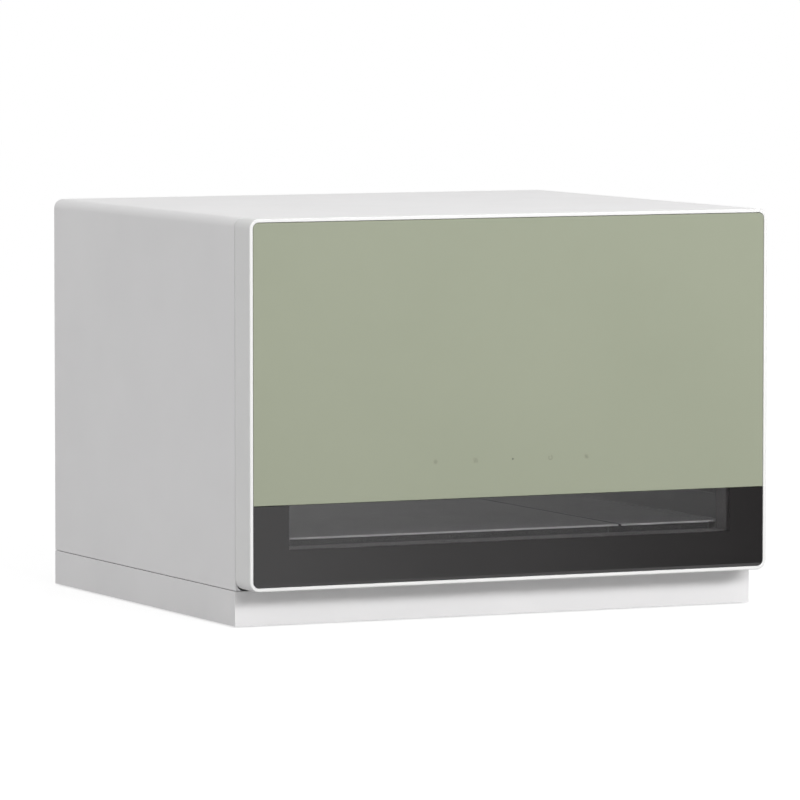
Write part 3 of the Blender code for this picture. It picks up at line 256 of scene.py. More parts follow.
def noise(tree, size, detail=2.0, rough=0.5, vector=None, distortion=0.0):
    """Noise with features of about that size, in metres."""
    scale = number(tree, "DIVIDE", 1.0, size) if isinstance(size, bpy.types.NodeSocket) else 1.0 / size
    return wire(tree, "TexNoise", {"Vector": vector or place_on(tree), "Scale": scale, "Detail": detail,
                                   "Roughness": rough, "Distortion": distortion}).outputs["Fac"]


print("effects put out Tone, Gloss and Height")

# %% [markdown]
# Injection-moulded plastic carries the spark texture of its mould: a grain a few tenths of a
# millimetre wide. The melt also leaves faint clouds in the colour, centimetres across.

# %% Moulded grain
moulded, taken, given = start_effect("moulded_grain", {"Grain Size": 0.0004, "Cloud Size": 0.06})
grain = noise(moulded, taken["Grain Size"], 3.0, 0.6)
cloud = noise(moulded, taken["Cloud Size"], 2.0, 0.4)
moulded.links.new(spread_value(moulded, cloud, 0.3, 0.7), given["Tone"])
handled = noise(moulded, 0.018, 3.0, 0.6, distortion=0.8)
moulded.links.new(spread_value(moulded, handled, 0.35, 0.7), given["Gloss"])
moulded.links.new(grain, given["Height"])
print(moulded.name, "has", len(moulded.nodes), "nodes")

# %% [markdown]
# Sheet steel is polished by a belt, which leaves fine lines in one direction. Noise that is
# stretched by a different amount along each axis gives them.

# %% Brushed lines
brushed, taken, given = start_effect("brushed_lines", {"Squeeze": (4.0, 900.0, 900.0), "Smear Size": 0.05})
squeezed = wire(brushed, "VectorMath", {0: place_on(brushed), 1: taken["Squeeze"]}, operation="MULTIPLY")
lines = noise(brushed, 1.0, 3.0, 0.65, squeezed.outputs[0])
smear = noise(brushed, taken["Smear Size"], 3.0, 0.55, distortion=1.2)
brushed.links.new(spread_value(brushed, smear, 0.3, 0.7), given["Tone"])
brushed.links.new(number(brushed, "ADD", number(brushed, "MULTIPLY", lines, 0.6),
                         number(brushed, "MULTIPLY", smear, 0.4)), given["Gloss"])
brushed.links.new(lines, given["Height"])
print(brushed.name, "has", len(brushed.nodes), "nodes")

# %% [markdown]
# Zinc plating crystallises in small flakes that mirror the light differently. Voronoi cells
# with a random value each look like them.

# %% Zinc flakes
zinc, taken, given = start_effect("zinc_flakes", {"Flake Size": 0.0022})
scale = number(zinc, "DIVIDE", 1.0, taken["Flake Size"])
cells = wire(zinc, "TexVoronoi", {"Vector": place_on(zinc), "Scale": scale}, feature="F1")
value = wire(zinc, "SeparateColor", {"Color": cells.outputs["Color"]}).outputs["Red"]
haze = noise(zinc, 0.012, 3.0, 0.6)
zinc.links.new(number(zinc, "ADD", number(zinc, "MULTIPLY", value, 0.45), number(zinc, "MULTIPLY", haze, 0.55)),
               given["Tone"])
zinc.links.new(value, given["Gloss"])
zinc.links.new(noise(zinc, 0.0006, 2.0), given["Height"])
print(zinc.name, "has", len(zinc.nodes), "nodes")

# %% [markdown]
# Rubber and silicone are matt, with a fine pitted skin and a bloom of talc in patches.

# %% Rubber skin
skin, taken, given = start_effect("rubber_skin", {"Pit Size": 0.0007})
scale = number(skin, "DIVIDE", 1.0, taken["Pit Size"])
pits = wire(skin, "TexVoronoi", {"Vector": place_on(skin), "Scale": scale, "Randomness": 1.0}, feature="SMOOTH_F1")
bloom = noise(skin, 0.014, 4.0, 0.65)
skin.links.new(spread_value(skin, bloom, 0.4, 0.72), given["Tone"])
skin.links.new(bloom, given["Gloss"])
skin.links.new(spread_value(skin, pits.outputs["Distance"], 0, 0.7), given["Height"])
print(skin.name, "has", len(skin.nodes), "nodes")

# %% [markdown]
# Filter paper is pressed from fibres: long, thin, crossing noise in two directions.

# %% Pressed fibres
fibres, taken, given = start_effect("pressed_fibres", {"Fibre Width": 0.0003})
strands = []
for squeeze in ((1.0, 1.0, 0.12), (0.12, 1.0, 1.0)):
    laid = wire(fibres, "VectorMath", {0: place_on(fibres), 1: squeeze}, operation="MULTIPLY")
    strands.append(noise(fibres, taken["Fibre Width"], 2.0, 0.6, laid.outputs[0], 0.6))
felt = number(fibres, "MAXIMUM", *strands)
grey = noise(fibres, 0.02, 3.0, 0.6)
fibres.links.new(number(fibres, "MULTIPLY", felt, grey), given["Tone"])
fibres.links.new(grey, given["Gloss"])
fibres.links.new(felt, given["Height"])
print(fibres.name, "has", len(fibres.nodes), "nodes")

# %% [markdown]
# A circuit board shows copper tracks through its green mask: bands that run along the board and
# turn in steps. Bricks of two sizes, laid across each other, give tracks with square corners.

# %% Circuit tracks
tracks, taken, given = start_effect("circuit_tracks", {"Track Pitch": 0.004, "Lay": (1.0, 1.0, 1.0)})
laid = wire(tracks, "VectorMath", {0: place_on(tracks), 1: taken["Lay"]}, operation="MULTIPLY").outputs[0]
parts = wire(tracks, "SeparateXYZ", {"Vector": laid}).outputs
flat = wire(tracks, "CombineXYZ", {"X": parts["X"], "Y": number(tracks, "ADD", parts["Y"], parts["Z"])})
scale = number(tracks, "DIVIDE", 1.0, taken["Track Pitch"])
rows = []
for brick_width, mortar in ((3.1, 0.10), (0.9, 0.07)):
    bricks = wire(tracks, "TexBrick", {"Vector": flat.outputs[0], "Scale": scale, "Mortar Size": mortar,
                                       "Brick Width": brick_width, "Row Height": 0.45})
    rows.append(bricks.outputs["Fac"])
pattern = number(tracks, "MAXIMUM", *rows)
tracks.links.new(pattern, given["Tone"])
tracks.links.new(noise(tracks, 0.01, 2.0), given["Gloss"])
tracks.links.new(pattern, given["Height"])
print(tracks.name, "has", len(tracks.nodes), "nodes")

# %% [markdown]
# Enamelled copper wire is wound in turns that lie beside each other. A wave texture gives one
# band for each turn.

# %% Wound turns
turns, taken, given = start_effect("wound_turns", {"Wire Width": 0.0006})
scale = number(turns, "DIVIDE", 0.314, taken["Wire Width"])
wave = wire(turns, "TexWave", {"Vector": place_on(turns), "Scale": scale, "Distortion": 0.6, "Detail": 1.0},
            bands_direction="Y").outputs["Fac"]
turns.links.new(wave, given["Tone"])
turns.links.new(noise(turns, 0.004, 2.0), given["Gloss"])
turns.links.new(wave, given["Height"])
print(turns.name, "has", len(turns.nodes), "nodes")

# %% [markdown]
# Two effects lie over the others. Dust settles only on faces that look up, and more of it in
# patches. Metal edges are made brighter and glossier, partly as wear rubbed by hands and slides
# and partly as a painted highlight along every edge; a bevelled normal differs from the true one
# only near an edge, which finds them.

# %% Settled dust, and rubbed edges with a painted highlight
dust, taken, given = start_effect("settled_dust", {"Patch Size": 0.05, "Amount": 0.3}, ("Mask",))
up = wire(dust, "SeparateXYZ", {"Vector": wire(dust, "NewGeometry").outputs["Normal"]}).outputs["Z"]
patch = noise(dust, taken["Patch Size"], 5.0, 0.65)
amount = number(dust, "MULTIPLY", spread_value(dust, up, 0.5, 1.0), spread_value(dust, patch, 0.35, 0.75))
dust.links.new(number(dust, "MULTIPLY", amount, taken["Amount"]), given["Mask"])

# The edge mask is partly rubbed wear and partly a painted highlight: it brightens every metal edge alike.
worn_highlit_edges, taken, given = start_effect("edge_wear_and_painted_highlight", {"Width": 0.0006, "Amount": 0.6}, ("Mask",))
geometry = wire(worn_highlit_edges, "NewGeometry")
soft = wire(worn_highlit_edges, "Bevel", {"Radius": taken["Width"]}, samples=4)
turned = wire(worn_highlit_edges, "VectorMath", {0: soft.outputs[0], 1: geometry.outputs["Normal"]}, operation="DOT_PRODUCT")
edge = spread_value(worn_highlit_edges, turned.outputs["Value"], 0.99, 0.86)
broken = spread_value(worn_highlit_edges, noise(worn_highlit_edges, 0.004, 3.0, 0.6), 0.3, 0.6)
worn_highlit_edges.links.new(number(worn_highlit_edges, "MULTIPLY", number(worn_highlit_edges, "MULTIPLY", edge, broken), taken["Amount"]),
                 given["Mask"])
print(dust.name, "and", worn_highlit_edges.name, "put out a Mask")

# %% [markdown]
# ## Finishes
# Every finish is made the same way: an effect drives the colour between two tones, the
# roughness between two values, and a fine bump. What is the same all over, such as the index of
# refraction or a full metallic, is typed on the shader itself. `laid_on` are the effects that
# lie over it, each with the colour and roughness that it brings.

# %% Make a finish
finishes = {}


def use_effect(tree, group, values):
    placed = wire(tree, "Group", node_tree=group)
    for name, value in values.items():
        placed.inputs[name].default_value = value
    return placed.outputs


def make_finish(slot, effect, values, tones, roughness, relief, laid_on=(), **constants):
    material = bpy.data.materials.new(slot)
    material.use_nodes = True
    tree = material.node_tree
    shader = tree.nodes["Principled BSDF"]
    given = use_effect(tree, effect, values)
    colour = tint(tree, given["Tone"], *tones)
    rough = spread_value(tree, given["Gloss"], 0, 1, *roughness)
    for group, overlay_values, overlay_colour, overlay_rough in laid_on:
        mask = use_effect(tree, group, overlay_values)["Mask"]
        colour = tint(tree, mask, colour, overlay_colour)
        rough = wire(tree, "Mix", {"Factor": mask, "A": rough, "B": overlay_rough}, data_type="FLOAT").outputs[0]
    tree.links.new(colour, shader.inputs["Base Color"])
    tree.links.new(rough, shader.inputs["Roughness"])
    bump = wire(tree, "Bump", {"Strength": 1.0, "Distance": relief, "Height": given["Height"]})
    tree.links.new(bump.outputs[0], shader.inputs["Normal"])
    for socket, value in constants.items():
        shader.inputs[socket.replace("_", " ")].default_value = value
    finishes[slot] = material
    return material


def grey(value, warm=0.0):
    """A near-neutral colour, as a linear value, slightly warm above 0 and slightly cool below."""
    return (value * (1 + warm), value, value * (1 - warm))


print("ready to make finishes")

# %% [markdown]
# The casing is white with a trace of violet in the shade, and satin rather than shiny. The
# front's rim is a little glossier, and the green panel is nearly matt, so that the room leaves
# no mirror image on it.

# %% Casing plastics
light_dust = (dust, {"Patch Size": 0.07, "Amount": 0.10}, (0.72, 0.70, 0.67), 0.8)
make_finish("white_casing", moulded, {"Grain Size": 0.0004, "Cloud Size": 0.08},
            ((0.845, 0.838, 0.842), (0.870, 0.862, 0.866)), (0.46, 0.36), 0.000012, (light_dust,),
            Specular_IOR_Level=0.4)
make_finish("white_rim", moulded, {"Grain Size": 0.0003, "Cloud Size": 0.05},
            ((0.838, 0.836, 0.831), (0.858, 0.856, 0.851)), (0.48, 0.40), 0.000006, (),
            Specular_IOR_Level=0.28)
make_finish("green_panel", moulded, {"Grain Size": 0.00025, "Cloud Size": 0.11},
            ((0.309, 0.333, 0.247), (0.319, 0.342, 0.255)), (0.62, 0.54), 0.000004, (),
            Specular_IOR_Level=0.3)
print("casing finishes:", sorted(finishes))

# %% [markdown]
# Behind the glass sit a dark moulding and two light grey trays over two near-black drip trays.
# The drip trays' own grey is darkened towards black as painted shade for the gap under the trays'
# front edges. The trays wear to a slight shine where things are put down.

# %% Drawer and inner plastics
make_finish("dark_moulding", moulded, {"Grain Size": 0.0005, "Cloud Size": 0.03},
            ((0.225, 0.217, 0.219), (0.255, 0.246, 0.248)), (0.60, 0.48), 0.00002, ())
make_finish("tray_plastic", moulded, {"Grain Size": 0.0005, "Cloud Size": 0.05},
            ((0.59, 0.595, 0.60), (0.63, 0.635, 0.64)), (0.48, 0.34), 0.000015, ())
# Painted shade: the drip trays are near-black, darker than their own grey, so the gap under the tray edges reads dark.
make_finish("drip_plastic", moulded, {"Grain Size": 0.0006, "Cloud Size": 0.04},
            ((0.026, 0.0265, 0.0275), (0.034, 0.0345, 0.0355)), (0.52, 0.38), 0.00002, ())
make_finish("black_plastic", moulded, {"Grain Size": 0.0006, "Cloud Size": 0.02},
            ((0.014, 0.014, 0.015), (0.020, 0.020, 0.021)), (0.60, 0.42), 0.00003, (light_dust,))
make_finish("fan_plastic", moulded, {"Grain Size": 0.0004, "Cloud Size": 0.02},
            ((0.018, 0.018, 0.020), (0.026, 0.026, 0.028)), (0.50, 0.34), 0.00002, (light_dust,))
print("moulded finishes:", len(finishes))

# %% [markdown]
# The chamber and the tub are polished sheet, the slides and screws zinc plated, the heater bare
# alloy. Each has its edges made brighter: partly rubbed wear, partly a painted edge highlight.

# %% Metals
# Metal edges: rubbed wear, and a painted highlight laid on every edge.
worn_highlit_edge_overlay = (worn_highlit_edges, {"Width": 0.0008, "Amount": 0.5}, (0.82, 0.82, 0.83), 0.14)
make_finish("polished_steel", brushed, {"Squeeze": (5.0, 700.0, 700.0), "Smear Size": 0.06},
            ((0.56, 0.56, 0.565), (0.62, 0.62, 0.625)), (0.22, 0.36), 0.000004, (worn_highlit_edge_overlay,), Metallic=1.0)
make_finish("zinc_steel", zinc, {"Flake Size": 0.0018},
            ((0.38, 0.39, 0.40), (0.52, 0.53, 0.545)), (0.42, 0.24), 0.00001, (worn_highlit_edge_overlay,), Metallic=1.0)
make_finish("heater_alloy", brushed, {"Squeeze": (900.0, 900.0, 30.0), "Smear Size": 0.02},
            ((0.46, 0.46, 0.46), (0.60, 0.60, 0.60)), (0.34, 0.52), 0.00001, (worn_highlit_edge_overlay,), Metallic=1.0)
make_finish("nickel_magnet", zinc, {"Flake Size": 0.0005},
            ((0.40, 0.40, 0.39), (0.47, 0.47, 0.46)), (0.30, 0.16), 0.000003, (worn_highlit_edge_overlay,), Metallic=1.0)
make_finish("gold_contact", brushed, {"Squeeze": (40.0, 900.0, 900.0), "Smear Size": 0.01},
            ((0.62, 0.42, 0.12), (0.72, 0.52, 0.18)), (0.22, 0.36), 0.000004, (worn_highlit_edge_overlay,), Metallic=1.0)
make_finish("copper_winding", turns, {"Wire Width": 0.0007},
            ((0.28, 0.08, 0.025), (0.58, 0.23, 0.08)), (0.30, 0.46), 0.00012, (), Metallic=1.0)
print("metal finishes:", [n for n in finishes if finishes[n].node_tree.nodes["Principled BSDF"].inputs[
    "Metallic"].default_value == 1])

# %% [markdown]
# Rubber feet, the silicone seal and the leads are matt or only softly shiny. The filter is
# paper, and the boards carry copper tracks under a green mask.

# %% Soft finishes, paper and boards
make_finish("grey_silicone", skin, {"Pit Size": 0.0009}, (grey(0.28), grey(0.33)), (0.70, 0.85), 0.00002, ())
make_finish("foot_rubber", skin, {"Pit Size": 0.0006}, (grey(0.095), grey(0.14)), (0.78, 0.92), 0.00004, ())
make_finish("lead_sheath", skin, {"Pit Size": 0.0004}, (grey(0.055, -0.04), grey(0.075, -0.04)), (0.50, 0.66),
            0.00001, ())
make_finish("lead_white", skin, {"Pit Size": 0.0004}, (grey(0.62), grey(0.70)), (0.48, 0.62), 0.00001, ())
make_finish("filter_paper", fibres, {"Fibre Width": 0.00035}, ((0.66, 0.65, 0.60), (0.86, 0.85, 0.81)),
            (0.95, 0.85), 0.00008, (light_dust,))
make_finish("circuit_board", tracks, {"Track Pitch": 0.0035}, ((0.012, 0.072, 0.034), (0.045, 0.150, 0.060)),
            (0.34, 0.50), 0.00004, (light_dust,))
print("finishes so far:", len(finishes))

# %% [markdown]
# ## Glass
# The window is smoked glass, printed dark round the opening, so that only the window shows the
# trays. Smoked glass absorbs light on its way through, and the shader does that by its base
# colour, at full transmission. Its polish is broken only by the film that wiping leaves, which
# the smear effect puts into the roughness.

# %% Glass finishes


def make_glass(slot, tones, roughness, index):
    material = make_finish(slot, brushed, {"Squeeze": (30.0, 30.0, 12.0), "Smear Size": 0.03}, tones, roughness,
                           0.0000004, (), Transmission_Weight=1.0, IOR=index)
    return material


make_glass("smoked_glass", ((0.585, 0.577, 0.580), (0.612, 0.604, 0.607)), (0.01, 0.03), 1.50)
make_glass("clear_quartz", ((0.93, 0.95, 0.96), (0.97, 0.98, 0.99)), (0.0, 0.03), 1.46)
print("glass finishes done,", len(finishes), "in all")

# %% [markdown]
# ## Dressing the solids
# Most inner solids have the right shape already. They only look too crisp, because a real
# moulding or pressing has no perfectly sharp edge. Modifiers mend that without touching the
# mesh: weld the loaded corners, dissolve flat triangles, round the edges, and let the large
# faces set the shading normals.

# %% Dress every solid
slot_of = {row["node"]: row["material_slot"] for row in frame["record"]["subparts"]}


def soften(item, width, segments=2, angle=30, weld=True):
    if weld:
        item.modifiers.new("weld", "WELD").merge_threshold = 0.000002
        flatten = item.modifiers.new("flatten", "DECIMATE")
        flatten.decimate_type = "DISSOLVE"
        flatten.angle_limit = math.radians(0.8)
    if width:
        bevel = item.modifiers.new("round_edges", "BEVEL")
        bevel.width = width
        bevel.segments = segments
        bevel.limit_method = "ANGLE"
        bevel.angle_limit = math.radians(angle)
        bevel.use_clamp_overlap = True
    item.modifiers.new("even_normals", "WEIGHTED_NORMAL").keep_sharp = True


edge_of = {"white_casing": 0.0004, "black_plastic": 0.0003, "polished_steel": 0.0003, "zinc_steel": 0.0002,
           "heater_alloy": 0.0001, "fan_plastic": 0.0003, "circuit_board": 0.0002, "dark_moulding": 0.0003,
           "grey_silicone": 0.0004, "foot_rubber": 0.0003, "clear_quartz": 0.0002}
for name, solid in solids.items():
    for row in solid.material_slots:
        row.material = finishes[slot_of[name]]
    soften(solid, edge_of.get(slot_of[name], 0.0002))
print("dressed", len(solids), "solids")

# %% [markdown]
# ## Finer pieces
# Everything in front of the camera is replaced by a finer mesh. Two builders do most of the
# work. `skin_loops`, closed into a ring, sweeps a closed profile round a rounded rectangle, which
# makes frames and rims. `slab` closes the same loops at both ends, which makes panels. Both lay
# the loop in X and Z and step along Y, like the front of the dryer itself.

# %% Rounded rectangles
corner_steps = 14


def rounded(x0, x1, z0, z1, low_radius, high_radius=None, steps=corner_steps):
    high_radius = low_radius if high_radius is None else high_radius
    points = []
    for x, z, radius, quarter in ((x0, z0, low_radius, 2), (x1, z0, low_radius, 3),
                                  (x1, z1, high_radius, 0), (x0, z1, high_radius, 1)):
        middle_x = x + radius if x == x0 else x - radius
        middle_z = z + radius if z == z0 else z - radius
        for step in range(steps + 1):
            angle = (quarter + step / steps) * math.pi / 2
            points.append((middle_x + radius * math.cos(angle), middle_z + radius * math.sin(angle)))
    return points


def inset_loops(shape, profile, steps=corner_steps):
    """A loop for each (inset, place along Y) of the profile. shape is x0, x1, z0, z1 and two radii."""
    x0, x1, z0, z1, low_radius, high_radius = shape
    least = 0.00005
    loops = []
    for inset, y in profile:
        loop = rounded(x0 + inset, x1 - inset, z0 + inset, z1 - inset,
                       max(low_radius - inset, least), max(high_radius - inset, least), steps)
        loops.append([(x, y, z) for x, z in loop])
    return loops


def quarter_turn(inset, y, radius, start, steps=4):
    """Points of a quarter circle about (inset, y), from start, in quarters, towards the next quarter."""
    return [(inset + radius * math.cos((start + i / steps) * math.pi / 2),
             y + radius * math.sin((start + i / steps) * math.pi / 2)) for i in range(steps + 1)]


print("loops have", 4 * (corner_steps + 1), "points")

# %% Skin loops and mount pieces


def skin_loops(loops, closed=False):
    """A mesh through the loops: a ring when closed, or a solid with both ends capped."""
    mesh = bmesh.new()
    rows = [[mesh.verts.new(point) for point in loop] for loop in loops]
    if closed:
        pairs = zip(rows, rows[1:] + rows[:1])
    else:
        pairs = zip(rows, rows[1:])
        mesh.faces.new(rows[0])
        mesh.faces.new(rows[-1])
    for near, far in pairs:
        for i in range(len(near)):
            j = (i + 1) % len(near)
            mesh.faces.new((near[i], near[j], far[j], far[i]))
    bmesh.ops.recalc_face_normals(mesh, faces=mesh.faces)
    return mesh


def mount(name, mesh, finish, body, replaced=(), smooth=34, edge=0.0, slot=None):
    """Turns a bmesh or mesh into a piece of the dryer, in its finish, riding on its body."""
    if isinstance(mesh, bmesh.types.BMesh):
        made = bpy.data.meshes.new(name)
        mesh.to_mesh(made)
        mesh.free()
        mesh = made
    item = bpy.data.objects.new(name, mesh)
    bpy.context.scene.collection.objects.link(item)
    mesh.materials.clear()
    mesh.materials.append(finishes[finish])
    mesh.shade_smooth()
    mesh.set_sharp_from_angle(angle=math.radians(smooth))
    soften(item, edge, weld=False, angle=smooth)
    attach(item, body)
    slot or finish
    if replaced:
        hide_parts(*replaced)
    print(name, "has", len(mesh.polygons), "faces")
    return item


# %% [markdown]
# ## The drawer front's casing
# A white frame, 25 mm deep, whose front edge is the bright line round the glass. Its edges are
# rolled over by a small radius. Sweeping the wall's section round a rounded rectangle keeps the
# rim even all the way round.

# %% Front casing
low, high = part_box("front_casing")
rim_width, outer_roll, inner_roll, back_roll = 0.0026, 0.0008, 0.0004, 0.0004
front_radius = 0.007
shape = (low.x, high.x, low.z, high.z, front_radius, front_radius)
section = (quarter_turn(outer_roll, low.y + outer_roll, outer_roll, 2, 5)
           + quarter_turn(rim_width - inner_roll, low.y + inner_roll, inner_roll, 3, 3)
           + quarter_turn(rim_width - inner_roll, high.y - inner_roll, inner_roll, 0, 3)
           + quarter_turn(back_roll, high.y - back_roll, back_roll, 1, 3))
mount("front_casing_fine", skin_loops(inset_loops(shape, section), closed=True), "white_rim", "drawer",
      ["front_casing"], smooth=45)

# %% [markdown]
# ## Green panel and smoked glass
# Two flush panels that fill the frame, edge to edge. Each is a slab with a fine arris: the tiny
# rounded edge that catches the light in the joint between them.

# %% Panels in the front
arris = 0.00025
corner_in_rim = 0.0041


def slab(shape, near, far, edge, steps=corner_steps):
    profile = ([(edge, near)] if not edge else
               [(edge - edge * math.sin(a), near + edge - edge * math.cos(a))
                for a in (0, math.pi / 6, math.pi / 3, math.pi / 2)])
    back = [(inset, far - (y - near)) for inset, y in reversed(profile)]
    return skin_loops(inset_loops(shape, profile + back, steps))


low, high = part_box("green_panel")
square = 0.0003
mount("green_panel_fine", slab((low.x, high.x, low.z, high.z, square, corner_in_rim), low.y, high.y, arris),
      "green_panel", "drawer", ["green_panel"], smooth=50)
print_wall = 0.00004
low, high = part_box("window_glass")
mount("window_glass_fine",
      slab((low.x, high.x, low.z, high.z, corner_in_rim, square), low.y + 1.2 * print_wall, high.y, arris),
      "smoked_glass", "drawer", ["window_glass"], smooth=50)

# %% [markdown]
# ## Cabinet shell
# Top and sides are one sheet wrapped round the cabinet, open below. The section is drawn once,
# outside and inside, with many points in the corners, and pushed along the depth. A flange inside
# the rear edge carries the rear panel.

# %% Cabinet shell
low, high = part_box("cabinet_shell")
shell_wall, shell_radius = 0.0024, 0.007
rear_flange, rear_recess, rear_wall, joint_gap = 0.011, 0.003, 0.002, 0.0003
flange_end = high.y - rear_recess - rear_wall - joint_gap
flange_start = flange_end - 0.0016


def arch(inset, radius, drop=0.0):
    """The wrap's line at an inset from its outside: up the left side, over the top and down the right."""
    x0, x1, z1 = low.x + inset, high.x - inset, high.z - inset
    points = [(x0, low.z + drop)]
    for x, quarter in ((x0 + radius, 2), (x1 - radius, 1)):
        for step in range(corner_steps + 1):
            angle = (quarter - step / corner_steps) * math.pi / 2
            points.append((x + radius * math.cos(angle), z1 - radius + radius * math.sin(angle)))
    return points + [(x1, low.z + drop)]


def wrap(near, far, inset, depth, radius):
    outer = arch(inset, max(radius - inset, 0.0002))
    inner = arch(inset + depth, max(radius - inset - depth, 0.0002))
    line = outer + inner[::-1]
    return skin_loops([[(x, y, z) for x, z in line] for y in (near, far)])


shell = mount("cabinet_shell_fine", wrap(low.y, high.y, 0.0, shell_wall, shell_radius), "white_casing", "cabinet",
              ["cabinet_shell"], smooth=40, edge=0.0005)
mount("shell_flange", wrap(flange_start, flange_end, shell_wall - 0.0001, rear_flange, shell_radius),
      "white_casing", "cabinet", smooth=40, edge=0.0002)

# %% [markdown]
# ## Plates with holes
# Prints, trays, the rear panel and the filter cover are thin plates with openings, whose rims are
# rolled over. A flat curve does all of it at once: its outlines are filled between, extruded to
# the thickness and bevelled all round, and then the curve becomes a mesh.

# %% Pierced plates
slot_steps = 6


def curve_mesh(name, curve, matrix):
    """The mesh that a curve makes, welded shut and moved by a matrix."""
    holder = bpy.data.objects.new(name, curve)
    bpy.context.scene.collection.objects.link(holder)
    mesh = bpy.data.meshes.new_from_object(holder.evaluated_get(bpy.context.evaluated_depsgraph_get()))
    bpy.data.objects.remove(holder)
    made = bmesh.new()
    made.from_mesh(mesh)
    bmesh.ops.remove_doubles(made, verts=made.verts, dist=0.000002)
    bmesh.ops.transform(made, matrix=matrix, verts=made.verts)
    bmesh.ops.recalc_face_normals(made, faces=made.faces)
    return made


def plate(name, outline, holes, near, far, roll, upright=True):
    """A plate in X and Z from near to far along Y, or lying in X and Y from near to far along Z."""
    curve = bpy.data.curves.new(name, "CURVE")
    curve.dimensions = "2D"
    curve.fill_mode = "BOTH"
    curve.extrude = (far - near) / 2 - roll
    curve.bevel_depth = roll
    curve.bevel_resolution = 1
    curve.offset = -roll
    for line in [outline, *holes]:
        spline = curve.splines.new("POLY")
        spline.points.add(len(line) - 1)
        for point, (u, w) in zip(spline.points, line):
            point.co = (u, w, 0, 1)
        spline.use_cyclic_u = True
    middle = (near + far) / 2
    stand = Matrix(((1, 0, 0, 0), (0, 0, 1, middle), (0, 1, 0, 0), (0, 0, 0, 1)))
    return curve_mesh(name, curve, stand if upright else Matrix.Translation((0, 0, middle)))


def stadium(x, z, length, width, upright=False):
    """A slot with round ends, along X or upright."""
    half = (length - width) / 2
    points = []
    for away, start in ((half, -90), (-half, 90)):
        for i in range(slot_steps + 1):
            angle = math.radians(start + 180 * i / slot_steps)
            u, w = away + width / 2 * math.cos(angle), width / 2 * math.sin(angle)
            points.append((x - w, z + u) if upright else (x + u, z + w))
    return points


def join_meshes(meshes):
    """Several closed meshes in one."""
    whole = bmesh.new()
    for mesh in meshes:
        kept = bpy.data.meshes.new("part")
        mesh.to_mesh(kept)
        mesh.free()
        whole.from_mesh(kept)
        bpy.data.meshes.remove(kept)
    return whole


def laid_down(mesh):
    """Lays a mesh that was swept along Y so that it was swept along Z: (x, y, z) becomes (x, z, y)."""
    swap = Matrix(((1, 0, 0, 0), (0, 0, 1, 0), (0, 1, 0, 0), (0, 0, 0, 1)))
    bmesh.ops.transform(mesh, matrix=swap, verts=mesh.verts)
    bmesh.ops.recalc_face_normals(mesh, faces=mesh.faces)
    return mesh


print("a slot has", 2 * (slot_steps + 1), "points")

# %% [markdown]
# ## The print round the window
# The glass is printed almost black on its front, edge to edge and all round the window, and the
# print is as smooth as the glass. It is a thin plate in the shape of a wide U, which the green
# panel closes at the top, and it lies in the last few hundredths of a millimetre of the glass.

# %% Window print
make_finish("black_print", moulded, {"Grain Size": 0.004, "Cloud Size": 0.05},
            ((0.0235, 0.0222, 0.0224), (0.0262, 0.0248, 0.0250)), (0.03, 0.01), 0.0000001, (), IOR=1.53)
sill_z, window_half = 0.0553, 0.1705
low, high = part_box("window_glass")
free = 0.00015
top = high.z - free
outer = rounded(low.x + free, high.x - free, low.z + free, top, corner_in_rim - free, square)
inner = rounded(-window_half, window_half, sill_z, top, 0.0004, steps=3)[:8]
corner = corner_steps + 1
outline = outer[:3 * corner] + [(window_half, top)] + inner[::-1] + [(-window_half, top)] + outer[3 * corner:]
mount("window_print", plate("window_print", outline, [], low.y, low.y + print_wall, print_wall / 4), "black_print",
      "drawer", slot="smoked_glass")

# %% [markdown]
# ## The moulding behind the glass
# Its face carries the panels, two walls and some ribs stiffen it, and a sleeve round the window
# reaches back to the trays. The sleeve narrows a little towards the back, as a moulding must to
# leave its tool, so that its right side shows through the glass from end to end.

# %% Front core
low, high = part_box("front_core")
core_wall, core_fit, core_steps = 0.002, 0.0003, 4
mouth_top, mouth_front, mouth_back, mouth_rise, sleeve_half = 0.100, 0.1720, 0.1691, 0.0007, 0.1725
board_low, board_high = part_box("touch_board")
holes = [rounded(-mouth_front - 0.0002, mouth_front + 0.0002, sill_z - 0.001, mouth_top + 0.001, 0.0004, steps=core_steps),
         rounded(board_low.x - core_fit, board_high.x + core_fit, board_low.z - core_fit, board_high.z + core_fit,
                 0.0004, steps=core_steps)]
shape = (low.x, high.x, low.z, high.z, corner_in_rim, corner_in_rim)
face = plate("core_face", rounded(*shape), holes, low.y, low.y + core_wall, 0.0002)
near, far = low.y + core_wall / 2, high.y
wall = skin_loops(inset_loops(shape, [(0.0001, near), (0.0001, far), (core_wall, far), (core_wall, near)]), closed=True)
rings = [(mouth_front, sill_z, mouth_top, low.y), (mouth_back, sill_z + mouth_rise, mouth_top, far)]
rings += [(sleeve_half, sill_z - core_wall, mouth_top + core_wall, y) for y in (far, low.y)]
sleeve = skin_loops([[(x, y, z) for x, z in rounded(-half, half, z0, z1, 0.0003, steps=core_steps)]
                     for half, z0, z1, y in rings], closed=True)
ribs = [slab((x - core_wall / 2, x + core_wall / 2, z0, z1, 0.0002, 0.0002), near, far, 0.0001, core_steps)
        for x in (-0.064, 0.064) for z0, z1 in ((low.z + 0.001, sill_z - 0.001), (mouth_top + 0.001, high.z - 0.001))]
mount("front_core_fine", join_meshes([face, wall, sleeve, *ribs]), "dark_moulding", "drawer", ["front_core"], smooth=40)

# %% [markdown]
# The seal of the drawer closes on a dark seat, which runs round the mouth of the chamber. Its
# black is partly the seat's own colour and partly painted shade for the deep shade seen past the
# drawer front's corners. The contact block reaches through it.

